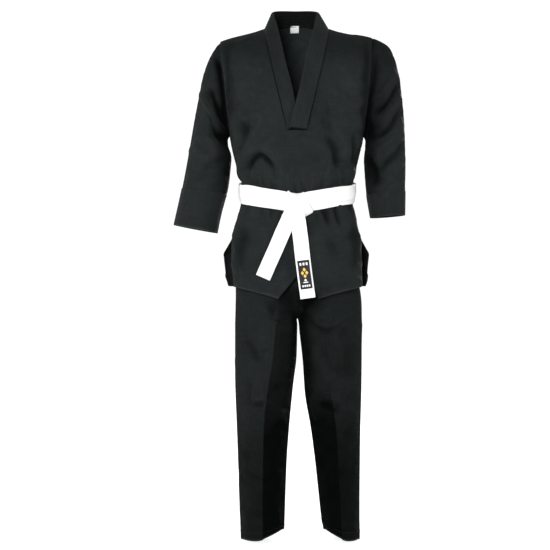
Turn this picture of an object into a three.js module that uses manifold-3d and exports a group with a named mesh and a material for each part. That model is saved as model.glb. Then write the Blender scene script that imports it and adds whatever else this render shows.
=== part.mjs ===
// A martial arts uniform: black V-neck jacket, white belt tied at the waist, black trousers.
// Millimetres, +Z up. The wearer would face -Y, with the right hand towards -X. The cloth keeps
// the shape it has when worn, and it is hollow: neck, cuffs, vents, waist and hems are open.
import * as THREE from 'three';
import { mergeVertices } from 'three/addons/utils/BufferGeometryUtils.js';
import Module from 'manifold-3d';

// ---- Driving dimensions -------------------------------------------------------------------

const CLOTH = 2; // one panel with its seam allowances
const BAND = 4; // a folded band held by rows of stitching
const WEBBING = 3.5; // the belt, several layers quilted together
const GAP = 0.5; // clearance between neighbouring pieces
const SEAM = 1.3; // half of the clearance along the shoulder and side seams, where the cloth curls over

// Heights above the trouser hems
const HEM_TOP = 33;
const SHIN_TOP = 342;
const KNEE_TOP = 442;
const THIGH_TOP = 592;
const HIP_BOTTOM = 700;
const HIP_TOP = 926;
const WAIST_TOP = 965;
const VENT_TOP = 830;
const BELT_HEIGHT = 956;
const LAPEL_END = 1134;
const UNDERARM = 1118;
const ARMHOLE_MIDDLE = 1240;
const SHOULDER_TIP = 1366;
const NECK_POINT = 1408;

// Neck, shoulder and armhole
const NECK_HALF = 83;
const SHOULDER_HALF = 205;
const ARMHOLE_DEPTH = 62;
const SHOULDER_ROUND = 95;
const NECK_RISE = 20; // the neckline climbs this far from the neck point to the centre back
const RIDGE_OVER_NECK = 18;
const COLLAR_HEIGHT = 40;

// Half sizes by height, as [height, size] from the bottom up
const JACKET_SIDE = [[VENT_TOP, 170], [898, 158], [926, 154.5], [988, 155], [1034, 166],
  [1075, 175], [UNDERARM, 184], [ARMHOLE_MIDDLE, 194], [SHOULDER_TIP, SHOULDER_HALF]];
const JACKET_FRONT = [[VENT_TOP, 118], [898, 102], [962, 102], [1034, 112], [1125, 121],
  [ARMHOLE_MIDDLE, 119], [SHOULDER_TIP, 104]];
const JACKET_BACK = [[VENT_TOP, 116], [944, 98], [1016, 98], [1060, 107], [1125, 117],
  [ARMHOLE_MIDDLE, 118], [SHOULDER_TIP, 100]];
// Heights of the panels' rows up to the lapels' ends: they follow the waist that the belt draws in
const OPENING_START = LAPEL_END - 4; // below this the two front panels meet at the centre
const PANEL_ROWS = [VENT_TOP + GAP, 898, 944, 962, 988, 1016, 1060, OPENING_START, LAPEL_END];
const SHOULDER_ROWS = 5;
const HIP_SIDE = [[HIP_BOTTOM, 166], [850, 152], [HIP_TOP, 141]];
const HIP_DEPTH = [[HIP_BOTTOM, 104], [800, 100], [870, 91], [HIP_TOP, 86]];
const LEG_DEPTH = [[0, 95], [KNEE_TOP, 96], [THIGH_TOP, 100], [HIP_BOTTOM, 104]];

// Distance of the lapel's sewn edge and of the jacket's skirts from the centre, by height
const LAPEL_SEAM = [[LAPEL_END, 25], [1321, 72], [SHOULDER_TIP, 84], [NECK_POINT, 84]];
const FRONT_SKIRT_SIDE = [[667, 168], [760, 176], [VENT_TOP, 170]];
const BACK_SKIRT_SIDE = [[690, 184], [726, 193], [790, 198], [VENT_TOP, 170]];
const SKIRT_STANDOFF = [[667, 30], [790, 20], [VENT_TOP, SEAM]];

// Trouser legs: the outer and inner line of each, as [height, outer, inner]
const LEGS = {
  right: [[0, -150, -37], [129, -156, -34], [232, -158, -32], [335, -162, -24], [437, -166, -19],
    [THIGH_TOP, -166, -4]],
  left: [[0, 173, 76], [129, 173, 62], [206, 173, 55], [309, 173, 43], [400, 176, 27],
    [THIGH_TOP, 177, 9]],
};

// Sleeves: matching points of the outer and inner line, from the armhole to the cuff, as [x, z]
const SLEEVES = {
  right: {
    outer: [[-207, 1366], [-248, 1300], [-274, 1187], [-296, 1062], [-314, 967], [-336, 868]],
    inner: [[-187, 1117], [-189, 1104], [-188, 1085], [-180, 1045], [-199, 950], [-219, 846]],
  },
  left: {
    outer: [[207, 1366], [262, 1325], [291, 1190], [299, 1055], [298, 960], [297, 895]],
    inner: [[187, 1117], [190, 1102], [190, 1082], [187, 1040], [196, 950], [205, 888]],
  },
};
const SLEEVE_DEPTH = [[0, 62], [0.3, 64], [0.6, 68], [1, 68]];
// Where each part of a sleeve ends, as a share of the way from armhole to cuff
const SLEEVE_PARTS = { head: [0, 0.32], upper: [0.32, 0.52], elbow: [0.52, 0.73], lower: [0.73, 0.86] };
const CUFF_START = 0.86;

// Belt
const BELT_WIDTH = 40;
const BELT_DIP = 26; // the belt sits this much lower at the front than at the sides
const BELT_CLEARANCE = 3.5; // room for the cloth that the belt gathers
const WRAP_SHIFT = 6; // the two wraps lie this far above and below the belt's middle line
const KNOT = { bottom: 884, middle: 916, top: 954, left: -32, right: 22, thickness: 8, crown: 3 };
const RIGHT_END = { y: -132, line: [[-21, 883], [-91, 724]] };
const LEFT_END = { y: -137, line: [[2, 883], [29, 669]] };
const LABEL_THICKNESS = 1;
const LABEL_WIDTH = 32;
const LABEL_ALONG = [0.54, 0.88];

// Waistband: a folded casing, open below, that holds the elastic and the drawcord
const CASING_WALL = 1.6;
const CASING_HALF = 4.6;
const CORD_RADIUS = 1.8;
const CORD_HEIGHT = 958.6;
const EYELET_X = 20;
const EYELET_RADIUS = 4.5;

// ---- Materials ----------------------------------------------------------------------------

const cloth = (colour, roughness) => new THREE.MeshStandardMaterial({
  color: colour,
  roughness,
  metalness: 0,
  side: THREE.FrontSide,
});
const BLACK = 0x202325;
const DEEP_BLACK = 0x1a1c1e;
const WHITE = 0xf4f4f2;
const MATERIALS = {
  jacket: () => cloth(BLACK, 0.85),
  band: () => cloth(DEEP_BLACK, 0.8),
  trousers: () => cloth(BLACK, 0.85),
  belt: () => cloth(WHITE, 0.75),
  label: () => cloth(0x2a2a2c, 0.5),
  neckLabel: () => cloth(0xe9e9e6, 0.6),
  elastic: () => cloth(0xd9d9d4, 0.7),
  cord: () => cloth(0x303336, 0.8),
};

// ---- Small tools --------------------------------------------------------------------------

const { lerp, clamp } = THREE.MathUtils;

// Straight-line interpolation in a [position, value] list
function at(list, position, column = 1) {
  const last = list.length - 1;
  let k = 1;
  while (k < last && position > list[k][0]) k += 1;
  const share = clamp((position - list[k - 1][0]) / (list[k][0] - list[k - 1][0]), 0, 1);
  return lerp(list[k - 1][column], list[k][column], share);
}

// A quarter turn of rounding: 0 at the edge, 1 from one radius inwards
const roundOver = (t) => Math.sqrt(1 - (1 - clamp(t, 0, 1)) ** 2);
const signedPower = (value, power) => Math.sign(value) * Math.abs(value) ** power;

// Makes every triangle of a closed geometry face out
function facingOut(geometry) {
  const flat = geometry.toNonIndexed().getAttribute('position');
  const corner = (k) => new THREE.Vector3().fromBufferAttribute(flat, k);
  let volume = 0;
  for (let k = 0; k < flat.count; k += 3) volume += corner(k).dot(corner(k + 1).cross(corner(k + 2)));
  if (volume < 0) {
    const index = geometry.getIndex();
    for (let k = 0; k < index.count; k += 3) {
      const second = index.getX(k + 1);
      index.setX(k + 1, index.getX(k + 2));
      index.setX(k + 2, second);
    }
  }
  return geometry;
}

// Moves every vertex of a geometry to place(vertex)
function remap(geometry, place) {
  const position = geometry.getAttribute('position');
  for (let k = 0; k < position.count; k += 1) {
    const p = place(new THREE.Vector3().fromBufferAttribute(position, k));
    position.setXYZ(k, p.x, p.y, p.z);
  }
  geometry.computeVertexNormals();
  return facingOut(geometry);
}

// The point of a surface at (u, v), moved off it along its normal
function offSurface(surface, u, v, distance, closed) {
  const step = 1e-3;
  const low = (value) => Math.max(0, value - step);
  const high = (value) => Math.min(1, value + step);
  const alongU = closed
    ? surface(u + step, v).sub(surface(u - step, v))
    : surface(high(u), v).sub(surface(low(u), v));
  const alongV = surface(u, high(v)).sub(surface(u, low(v)));
  return surface(u, v).addScaledVector(alongU.cross(alongV).normalize(), distance);
}

// A cloth panel over surface(u, v), with u and v from 0 to 1
function sheet(columns, rows, thickness, surface) {
  const slab = new THREE.BoxGeometry(1, 1, 1, columns, rows, 1);
  return remap(slab, (p) => offSurface(surface, p.x + 0.5, p.y + 0.5, p.z * thickness, false));
}

// A cloth tube, open at both ends, over surface(u, v) that closes on itself in u
function tube(segments, rows, thickness, surface) {
  const wall = [];
  for (let k = 0; k <= rows; k += 1) wall.push(new THREE.Vector2(2, k / rows));
  for (let k = rows; k >= 0; k -= 1) wall.push(new THREE.Vector2(1, k / rows));
  wall.push(wall[0].clone());
  return remap(new THREE.LatheGeometry(wall, segments), (p) => {
    const wallShare = Math.hypot(p.x, p.z) - 1.5;
    return offSurface(surface, Math.atan2(p.x, p.z) / (2 * Math.PI), p.y, wallShare * thickness, true);
  });
}

// A ring around the waist: profile holds [distance off the oval, height] and closes on itself
function waistRing(profile, segments) {
  const radius = 100;
  const outline = [...profile, profile[0]].map(([off, z]) => new THREE.Vector2(radius + off, z));
  const halfWidth = at(HIP_SIDE, HIP_TOP);
  const halfDepth = at(HIP_DEPTH, HIP_TOP);
  return remap(new THREE.LatheGeometry(outline, segments), (p) => {
    const off = Math.hypot(p.x, p.z) - radius;
    const angle = Math.atan2(p.x, p.z);
    const x = (halfWidth + off) * Math.sin(angle);
    return new THREE.Vector3(x, -(halfDepth + off) * Math.cos(angle), p.y);
  });
}

const uniform = new THREE.Group();

function add(name, geometry, material) {
  const mesh = new THREE.Mesh(geometry, MATERIALS[material]());
  mesh.name = name;
  uniform.add(mesh);
}

// ---- Jacket body --------------------------------------------------------------------------

// Height of the shoulder ridge, where front and back panels meet
function ridge(x) {
  const out = Math.abs(x) - NECK_HALF;
  if (out < 0) {
    const crown = NECK_RISE + RIDGE_OVER_NECK;
    return NECK_POINT + crown * (1 - (x / NECK_HALF) ** 2);
  }
  return NECK_POINT - (out * (NECK_POINT - SHOULDER_TIP)) / (SHOULDER_HALF - NECK_HALF);
}

// Half depth of the armhole, which closes at the underarm
function armholeDepth(z) {
  if (z <= UNDERARM) return 0;
  const below = clamp((ARMHOLE_MIDDLE - z) / (ARMHOLE_MIDDLE - UNDERARM), 0, 1);
  return ARMHOLE_DEPTH * Math.sqrt(1 - below ** 2);
}

const FULLNESS = 2.5; // exponent of the chest's cross-section, a little squarer than an ellipse
const across = (share) => Math.max(0, 1 - Math.abs(share) ** FULLNESS) ** (1 / FULLNESS);

// Distance of the jacket's cloth in front of or behind the side seams
function jacketDepth(x, z, depth) {
  const arm = armholeDepth(z);
  const swell = arm + (at(depth, z) - arm) * across(x / at(JACKET_SIDE, z));
  return SEAM + swell * roundOver((ridge(x) - z) / SHOULDER_ROUND);
}

// Columns crowd towards the side seam and rows towards the shoulder, where the cloth turns most
const crowdHigh = (share) => 1 - (1 - share) ** 1.7;

// Height of a panel at v, where its top edge is at height top
const panelRowCount = PANEL_ROWS.length - 1 + SHOULDER_ROWS;

function panelHeight(v, top) {
  const row = v * panelRowCount;
  const lapelRow = PANEL_ROWS.length - 1;
  if (row >= lapelRow) return lerp(LAPEL_END, top, crowdHigh((row - lapelRow) / SHOULDER_ROWS));
  const below = Math.floor(row);
  return lerp(PANEL_ROWS[below], PANEL_ROWS[below + 1], row - below);
}

function frontPanel(side) {
  return sheet(7, panelRowCount, CLOTH, (u, v) => {
    const z = panelHeight(v, lerp(NECK_POINT, SHOULDER_TIP, crowdHigh(u)));
    const besideLapel = clamp((z - OPENING_START) / (LAPEL_END - OPENING_START), 0, 1);
    const inner = lerp(GAP / 2, at(LAPEL_SEAM, z), besideLapel);
    const x = side * lerp(inner, at(JACKET_SIDE, z), crowdHigh(u));
    return new THREE.Vector3(x, -jacketDepth(x, z, JACKET_FRONT), z);
  });
}

function backPanel() {
  return sheet(14, panelRowCount, CLOTH, (u, v) => {
    const share = 2 * u - 1;
    const column = Math.sign(share) * crowdHigh(Math.abs(share));
    const topX = column * SHOULDER_HALF;
    const neckline = NECK_POINT + NECK_RISE * Math.max(0, 1 - (topX / NECK_HALF) ** 2);
    const z = panelHeight(v, Math.min(neckline, ridge(topX)));
    const x = column * at(JACKET_SIDE, z);
    return new THREE.Vector3(x, jacketDepth(x, z, JACKET_BACK), z);
  });
}

add('front_right_panel', frontPanel(-1), 'jacket');
add('front_left_panel', frontPanel(1), 'jacket');
add('back_panel', backPanel(), 'jacket');

// ---- Neck band: two stitched lapels that cross at the V and meet at the centre back -----------

const FRONT_SHARE = 0.7; // share of a lapel that lies on the chest; the rest is the collar
const FREE_EDGE = {
  right: [[-1, -119, 1136], [-7, -118, 1222], [-30, -98, 1312], [-47, -66, 1388]],
  left: [[-22, -127, 1136], [10, -124, 1262], [26, -101, 1328], [44, -66, 1392]],
};

function lapelBand(name, side) {
  const stand = NECK_POINT + COLLAR_HEIGHT;
  const collarTop = [[side * 54, -18, stand - 8], [side * 57, 10, stand + 6],
    [side * 40, 42, stand + 18], [side * SEAM, 55, stand + 20]];
  const edge = new THREE.CatmullRomCurve3(
    [...FREE_EDGE[name], ...collarTop].map((p) => new THREE.Vector3(...p)),
  );
  const onTop = name === 'left' ? BAND + CLOTH : 0; // the left lapel covers the right one
  const sewnEdge = (v) => {
    if (v <= FRONT_SHARE) {
      const share = v / FRONT_SHARE;
      const z = lerp(LAPEL_END + GAP, NECK_POINT, share);
      const x = side * (at(LAPEL_SEAM, z) - BAND / 2);
      const lift = onTop * (1 - share);
      return new THREE.Vector3(x, -jacketDepth(x, z, JACKET_FRONT) - lift, z + BAND * share);
    }
    const share = (v - FRONT_SHARE) / (1 - FRONT_SHARE);
    const x = side * lerp(NECK_HALF - BAND / 2, SEAM, share);
    const z = NECK_POINT + NECK_RISE * (1 - (x / NECK_HALF) ** 2) + BAND;
    return new THREE.Vector3(x, jacketDepth(x, z - BAND, JACKET_BACK), z);
  };
  return sheet(3, 20, BAND, (u, v) => {
    const free = edge.getPoint(v);
    if (v > FRONT_SHARE) free.x = side * Math.max(side * free.x, SEAM);
    return sewnEdge(v).lerp(free, u);
  });
}

add('right_lapel_band', lapelBand('right', -1), 'band');
add('left_lapel_band', lapelBand('left', 1), 'band');

// Maker's label, sewn inside the back panel under the collar
const NECK_LABEL = { left: -18, right: 9, bottom: 1403, top: 1424, standoff: 10, thickness: 1 };
add('neck_label', sheet(1, 1, NECK_LABEL.thickness, (u, v) => {
  const x = lerp(NECK_LABEL.left, NECK_LABEL.right, u);
  const z = lerp(NECK_LABEL.bottom, NECK_LABEL.top, v);
  return new THREE.Vector3(x, jacketDepth(0, z, JACKET_BACK) - NECK_LABEL.standoff, z);
}), 'neckLabel');

// ---- Jacket skirts, below the side vents ----------------------------------------------------

// The front hem has a notch shaped like an upturned V: edges by height for each side
const NOTCH = {
  right: [[667, -51], [752, 20], [VENT_TOP, -GAP / 2]],
  left: [[672, 56], [752, 20 + GAP], [VENT_TOP, GAP / 2]],
};
const FRONT_HEM = { centre: 667, side: 699, depth: 124 };
const BACK_HEM = { centre: 684, side: 700, depth: 132 };

function frontSkirt(name, side) {
  return sheet(7, 5, CLOTH, (u, v) => {
    const hem = lerp(FRONT_HEM.centre, FRONT_HEM.side, u);
    const z = lerp(hem, VENT_TOP - GAP, v);
    const halfWidth = at(FRONT_SKIRT_SIDE, z);
    const x = lerp(at(NOTCH[name], z), side * halfWidth, crowdHigh(u));
    const standoff = at(SKIRT_STANDOFF, z);
    const depth = lerp(FRONT_HEM.depth, at(JACKET_FRONT, VENT_TOP), (z - hem) / (VENT_TOP - hem));
    return new THREE.Vector3(x, -(standoff + (depth - standoff) * across(x / halfWidth)), z);
  });
}

function backSkirt() {
  return sheet(14, 5, CLOTH, (u, v) => {
    const share = 2 * u - 1;
    const column = Math.sign(share) * crowdHigh(Math.abs(share));
    const hem = lerp(BACK_HEM.centre, BACK_HEM.side, Math.abs(share));
    const z = lerp(hem, VENT_TOP - GAP, v);
    const standoff = at(SKIRT_STANDOFF, z);
    const depth = lerp(BACK_HEM.depth, at(JACKET_BACK, VENT_TOP), (z - hem) / (VENT_TOP - hem));
    const y = standoff + (depth - standoff) * across(column);
    return new THREE.Vector3(column * at(BACK_SKIRT_SIDE, z), y, z);
  });
}

add('front_right_skirt', frontSkirt('right', -1), 'jacket');
add('front_left_skirt', frontSkirt('left', 1), 'jacket');
add('back_skirt', backSkirt(), 'jacket');

// ---- Sleeves --------------------------------------------------------------------------------

// The sleeve's surface: rings hung between its outer and inner line
function sleeveSurface(name) {
  const line = (points) => new THREE.CatmullRomCurve3(points.map(([x, z]) => new THREE.Vector3(x, 0, z)));
  const outer = line(SLEEVES[name].outer);
  const inner = line(SLEEVES[name].inner);
  return (u, v) => {
    const turn = 2 * Math.PI * u;
    const point = inner.getPoint(v).lerp(outer.getPoint(v), 0.5 + 0.5 * Math.cos(turn));
    point.y = at(SLEEVE_DEPTH, v) * Math.sin(turn);
    return point;
  };
}

function addSleeve(name) {
  const surface = sleeveSurface(name);
  const seam = 0.004; // share of the sleeve left open between two parts
  const part = (from, to) => (u, v) => surface(u, lerp(from, to, v));
  for (const [label, [from, to]] of Object.entries(SLEEVE_PARTS)) {
    add(`${name}_sleeve_${label}`, tube(16, 2, CLOTH, part(from, to - seam)), 'jacket');
  }
  add(`${name}_cuff`, tube(16, 1, BAND, part(CUFF_START, 1)), 'band');
}

addSleeve('right');
addSleeve('left');

// ---- Belt: two wraps, a flat knot and two ends --------------------------------------------------

// The jacket's outline at a height, moved out by a distance; turn 0 is the front centre
function aroundJacket(turn, z, out) {
  const sine = signedPower(Math.sin(turn), 2 / FULLNESS);
  const cosine = signedPower(Math.cos(turn), 2 / FULLNESS);
  const depth = at(cosine > 0 ? JACKET_FRONT : JACKET_BACK, z);
  return new THREE.Vector3((at(JACKET_SIDE, z) + out) * sine, -(depth + out) * cosine, z);
}

function beltWrap(layer, shift) {
  const out = CLOTH / 2 + BELT_CLEARANCE + WEBBING / 2 + layer * (WEBBING + GAP);
  return tube(32, 1, WEBBING, (u, v) => {
    const turn = 2 * Math.PI * u;
    const point = aroundJacket(turn, BELT_HEIGHT - BELT_DIP * Math.cos(turn), out);
    point.z += shift + (v - 0.5) * BELT_WIDTH;
    return point;
  });
}

add('belt_inner_wrap', beltWrap(0, -WRAP_SHIFT), 'belt');
add('belt_outer_wrap', beltWrap(1, WRAP_SHIFT), 'belt');

// One strand of the knot: a pillow that is thinner towards its edges
function knotStrand(bottom, top, middleY, narrowing) {
  return sheet(4, 4, KNOT.thickness, (u, v) => {
    const half = (KNOT.right - KNOT.left) / 2 - narrowing * v;
    const x = (KNOT.left + KNOT.right) / 2 + (2 * u - 1) * half;
    const crown = KNOT.crown * (2 * u - 1) ** 2;
    return new THREE.Vector3(x, middleY + crown, lerp(bottom, top, v));
  });
}

add('belt_knot_outer_strand', knotStrand(KNOT.middle + GAP, KNOT.top, -123.5, 3), 'belt');
add('belt_knot_inner_strand', knotStrand(KNOT.bottom, KNOT.middle - GAP, -127, -2), 'belt');

// A belt end hanging from the knot, square to its own length
function beltEnd({ y, line: [[topX, topZ], [tipX, tipZ]] }, width, [from, to], thickness) {
  const along = new THREE.Vector3(tipX - topX, 0, tipZ - topZ);
  const sideways = new THREE.Vector3(-along.z, 0, along.x).normalize();
  return sheet(1, 3, thickness, (u, v) => new THREE.Vector3(topX, y, topZ)
    .addScaledVector(along, lerp(from, to, v))
    .addScaledVector(sideways, (u - 0.5) * width));
}

const FREE_LENGTH = [0.06, 1]; // starts clear of the knot
add('belt_right_end', beltEnd(RIGHT_END, BELT_WIDTH, FREE_LENGTH, WEBBING), 'belt');
add('belt_left_end', beltEnd(LEFT_END, BELT_WIDTH, FREE_LENGTH, WEBBING), 'belt');
const labelPlace = { ...LEFT_END, y: LEFT_END.y - WEBBING / 2 - GAP - LABEL_THICKNESS / 2 };
add('belt_label', beltEnd(labelPlace, LABEL_WIDTH, LABEL_ALONG, LABEL_THICKNESS), 'label');

// ---- Trousers: hips -------------------------------------------------------------------------

function hipPanel(side, facing) {
  return sheet(6, 4, CLOTH, (u, v) => {
    const z = lerp(HIP_BOTTOM, HIP_TOP, v);
    const turn = (Math.PI / 2) * u;
    const x = side * (GAP / 2 + at(HIP_SIDE, z) * Math.sin(turn));
    return new THREE.Vector3(x, facing * (GAP / 2 + at(HIP_DEPTH, z) * Math.cos(turn)), z);
  });
}

add('trouser_front_right', hipPanel(-1, -1), 'trousers');
add('trouser_front_left', hipPanel(1, -1), 'trousers');
add('trouser_back_right', hipPanel(-1, 1), 'trousers');
add('trouser_back_left', hipPanel(1, 1), 'trousers');

// Gusset: a strip inside the fork of the legs, from the front seam under to the back seam
const GUSSET = { halfWidth: 18, halfDepth: 96, bottom: 622 };
add('crotch_gusset', sheet(2, 10, CLOTH, (u, v) => {
  const turn = Math.PI * v;
  const x = lerp(-GUSSET.halfWidth, GUSSET.halfWidth, u);
  const z = HIP_BOTTOM - (HIP_BOTTOM - GUSSET.bottom) * Math.sin(turn);
  return new THREE.Vector3(x, -GUSSET.halfDepth * Math.cos(turn), z);
}), 'trousers');

// Waistband
const casingBottom = HIP_TOP + GAP + CLOTH / 2;
const roof = WAIST_TOP - CASING_WALL;
const hollow = CASING_HALF - CASING_WALL;
const casing = waistRing([[-CASING_HALF, casingBottom], [-CASING_HALF, WAIST_TOP], [CASING_HALF, WAIST_TOP],
  [CASING_HALF, casingBottom], [hollow, casingBottom], [hollow, roof], [-hollow, roof],
  [-hollow, casingBottom]], 32);

const wasm = await Module();
wasm.setup();

function toSolid(geometry) {
  const bare = geometry.clone();
  bare.deleteAttribute('normal');
  bare.deleteAttribute('uv');
  const merged = mergeVertices(bare, 1e-3);
  return new wasm.Manifold(new wasm.Mesh({
    numProp: 3,
    vertProperties: new Float32Array(merged.getAttribute('position').array),
    triVerts: new Uint32Array(merged.getIndex().array),
  }));
}

function toGeometry(solid) {
  const mesh = solid.getMesh();
  const geometry = new THREE.BufferGeometry();
  geometry.setAttribute('position', new THREE.BufferAttribute(mesh.vertProperties, 3));
  geometry.setIndex(new THREE.BufferAttribute(mesh.triVerts, 1));
  geometry.computeVertexNormals();
  return geometry;
}

// Two eyelets in the front wall of the casing let the drawcord out
function eyelet(x) {
  const front = -at(HIP_DEPTH, HIP_TOP) - CASING_HALF / 2 - 1;
  const drill = new THREE.CylinderGeometry(EYELET_RADIUS, EYELET_RADIUS, CASING_HALF + 2, 10);
  drill.translate(x, front, CORD_HEIGHT);
  return toSolid(drill);
}

const pierced = toSolid(casing).subtract(eyelet(-EYELET_X)).subtract(eyelet(EYELET_X));
add('waistband_casing', toGeometry(pierced), 'trousers');

add('waist_elastic', waistRing([[-1, 930], [-1, 954], [1, 954], [1, 930]], 32), 'elastic');

// The drawcord runs round the waist inside the casing, out of both eyelets and down
function drawcord() {
  const halfWidth = at(HIP_SIDE, HIP_TOP);
  const halfDepth = at(HIP_DEPTH, HIP_TOP);
  const inChannel = [];
  for (let degrees = 20; degrees <= 340; degrees += 20) {
    const turn = THREE.MathUtils.degToRad(degrees);
    inChannel.push([halfWidth * Math.sin(turn), -halfDepth * Math.cos(turn), CORD_HEIGHT]);
  }
  const hanging = (side) => [[side * 17, -97.5, 886], [side * 17.5, -96.5, 915], [side * 18, -95.5, 944]];
  const throughEyelet = (side) => [
    [side * (EYELET_X - 1), -93, CORD_HEIGHT - 3],
    [side * EYELET_X, -88.5, CORD_HEIGHT],
    [side * (EYELET_X + 4), -84.9, CORD_HEIGHT],
    [side * (EYELET_X + 12), -83.2, CORD_HEIGHT],
  ];
  const end = (side) => [...hanging(side), ...throughEyelet(side)];
  const path = [...end(1), ...inChannel, ...end(-1).reverse()];
  const circle = new THREE.Shape().absarc(0, 0, CORD_RADIUS, 0, 2 * Math.PI);
  return new THREE.ExtrudeGeometry(circle, {
    steps: 72,
    curveSegments: 3,
    bevelEnabled: false,
    extrudePath: new THREE.CatmullRomCurve3(path.map((p) => new THREE.Vector3(...p))),
  });
}

add('drawcord', drawcord(), 'cord');

// ---- Trousers: legs -------------------------------------------------------------------------

const CREASE = 1.2; // above 1 the cross-section comes to a crease at front and back
const FORK_REACH = 0.97; // how nearly a leg's top edges meet again at the fork

// A point of the leg at a height; turn 0 is the outer side
function legPoint(name, turn, z) {
  const outer = at(LEGS[name], z, 1);
  const inner = at(LEGS[name], z, 2);
  const x = lerp(inner, outer, 0.5 + 0.5 * signedPower(Math.cos(turn), CREASE));
  return new THREE.Vector3(x, at(LEG_DEPTH, z) * signedPower(Math.sin(turn), CREASE), z);
}

// The top of a leg opens towards the other leg: a panel from the front seam round to the back one
function legTop(name, side) {
  return sheet(14, 4, CLOTH, (u, v) => {
    const bottom = THIGH_TOP + CLOTH;
    const ring = legPoint(name, Math.PI * (2 * u - 1) * FORK_REACH, bottom);
    const turn = Math.PI * u;
    const x = side * (GAP / 2 + at(HIP_SIDE, HIP_BOTTOM) * Math.sin(turn));
    const y = -at(HIP_DEPTH, HIP_BOTTOM) * Math.cos(turn);
    const spread = Math.sin((Math.PI / 2) * v);
    const z = lerp(bottom, HIP_BOTTOM - 2 * GAP, v);
    return new THREE.Vector3(lerp(ring.x, x, spread), lerp(ring.y, y, spread), z);
  });
}

function addLeg(name, side) {
  const part = (from, to) => (u, v) => legPoint(name, 2 * Math.PI * u, lerp(from, to, v));
  add(`${name}_leg_top`, legTop(name, side), 'trousers');
  add(`${name}_thigh`, tube(16, 2, CLOTH, part(KNEE_TOP, THIGH_TOP)), 'trousers');
  add(`${name}_knee`, tube(16, 2, CLOTH, part(SHIN_TOP, KNEE_TOP - GAP)), 'trousers');
  add(`${name}_shin`, tube(16, 3, CLOTH, part(HEM_TOP, SHIN_TOP - GAP)), 'trousers');
  add(`${name}_trouser_hem`, tube(16, 1, BAND, part(0, HEM_TOP - GAP)), 'band');
}

addLeg('right', -1);
addLeg('left', 1);

// ---- Place the origin under the middle of the uniform -------------------------------------------

const box = new THREE.Box3().setFromObject(uniform);
const middle = box.getCenter(new THREE.Vector3());
uniform.position.set(-middle.x, -middle.y, -box.min.z);

export default uniform;
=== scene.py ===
import math

import bmesh
import bpy
import numpy as np
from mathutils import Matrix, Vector


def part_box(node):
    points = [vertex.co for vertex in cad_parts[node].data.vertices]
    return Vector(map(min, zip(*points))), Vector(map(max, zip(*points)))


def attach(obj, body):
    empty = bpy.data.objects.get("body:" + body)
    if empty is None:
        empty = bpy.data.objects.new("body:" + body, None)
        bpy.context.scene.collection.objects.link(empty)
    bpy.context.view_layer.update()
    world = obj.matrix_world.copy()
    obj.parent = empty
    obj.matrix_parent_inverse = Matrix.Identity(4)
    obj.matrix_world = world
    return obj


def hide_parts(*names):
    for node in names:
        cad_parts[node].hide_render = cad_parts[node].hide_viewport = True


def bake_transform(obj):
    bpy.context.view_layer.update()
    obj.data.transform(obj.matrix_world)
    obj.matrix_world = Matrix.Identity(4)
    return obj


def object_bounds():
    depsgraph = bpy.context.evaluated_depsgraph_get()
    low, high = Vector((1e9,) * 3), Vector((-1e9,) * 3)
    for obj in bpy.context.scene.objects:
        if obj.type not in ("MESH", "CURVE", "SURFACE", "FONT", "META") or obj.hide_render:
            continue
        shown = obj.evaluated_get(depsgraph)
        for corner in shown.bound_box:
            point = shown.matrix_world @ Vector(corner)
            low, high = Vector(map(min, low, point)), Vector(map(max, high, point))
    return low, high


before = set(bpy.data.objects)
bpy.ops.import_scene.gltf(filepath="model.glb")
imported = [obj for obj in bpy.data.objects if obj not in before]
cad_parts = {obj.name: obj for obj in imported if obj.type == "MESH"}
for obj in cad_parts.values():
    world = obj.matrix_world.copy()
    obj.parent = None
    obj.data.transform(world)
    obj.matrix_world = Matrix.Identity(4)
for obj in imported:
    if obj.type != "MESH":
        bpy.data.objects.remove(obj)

cad_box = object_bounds()

# ---- Place of the millimetre frame in the row frame ---------------------------------------

HIP_BOTTOM = 700.0
right_hip, left_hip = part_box("trouser_front_right"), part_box("trouser_front_left")
back_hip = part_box("trouser_back_right")
ORIGIN = np.array([
    (right_hip[1][0] + left_hip[0][0]) / 2,
    (right_hip[0][1] + back_hip[1][1]) / 2,
    right_hip[0][2] - HIP_BOTTOM / 1000,
])


def place(points):
    return np.asarray(points, float) / 1000 + ORIGIN


def bump(value, middle, reach):
    """1 at the middle, falling off on both sides to 1/e at the reach."""
    return np.exp(-(((value - middle) / reach) ** 2))


def xyz(x, y, z):
    return np.stack(np.broadcast_arrays(x, y, z), axis=-1)


def steps(count):
    return np.linspace(0, 1, count + 1)


BELT_SHARE = np.linspace(0, 1.4, 57)
BELT_BEND = np.interp(BELT_SHARE, [0, 0.1, 0.25, 0.5, 0.75, 0.9, 1.0, 1.2], [-8.5, -5.5, -0.5, 5.5, 8.5, 7.5, 4.0, 0.0])
BELT_BEND = np.convolve(np.pad(BELT_BEND, 3, mode="edge"), np.full(7, 1 / 7), "valid")
BELT_HALF = 157.0  # half the jacket's width under the belt


def drape(points):
    """The uneven hang of the cloth: the higher left shoulder, and the belt's dip in front."""
    x, y, z = np.moveaxis(np.array(points, float), -1, 0)
    high = np.clip((z - 1220) / 130, 0, 1) ** 2
    lift = high * (13.0 * bump(x, 212, 60) + 4.5 * bump(x, -190, 50))
    out = 5.0 * bump(x, 245, 45) * bump(z, 1270, 110) - 4.0 * bump(x, -215, 28) * bump(z, 1335, 40)
    front = 1 / (1 + np.exp(np.clip(y / 18, -30, 30)))
    dip = front * np.interp(np.abs(x) / BELT_HALF, BELT_SHARE, BELT_BEND) * bump(z, 942, 75)
    hip = 7.0 * bump(x, 175, 45) * bump(z, 665, 55)
    waist = 7.0 * bump(x, -165, 45) * bump(z, 960, 50) - 2.0 * bump(x, 165, 45) * bump(z, 960, 50)
    return xyz(x + out + hip + waist, y, z + lift + dip)


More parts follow.
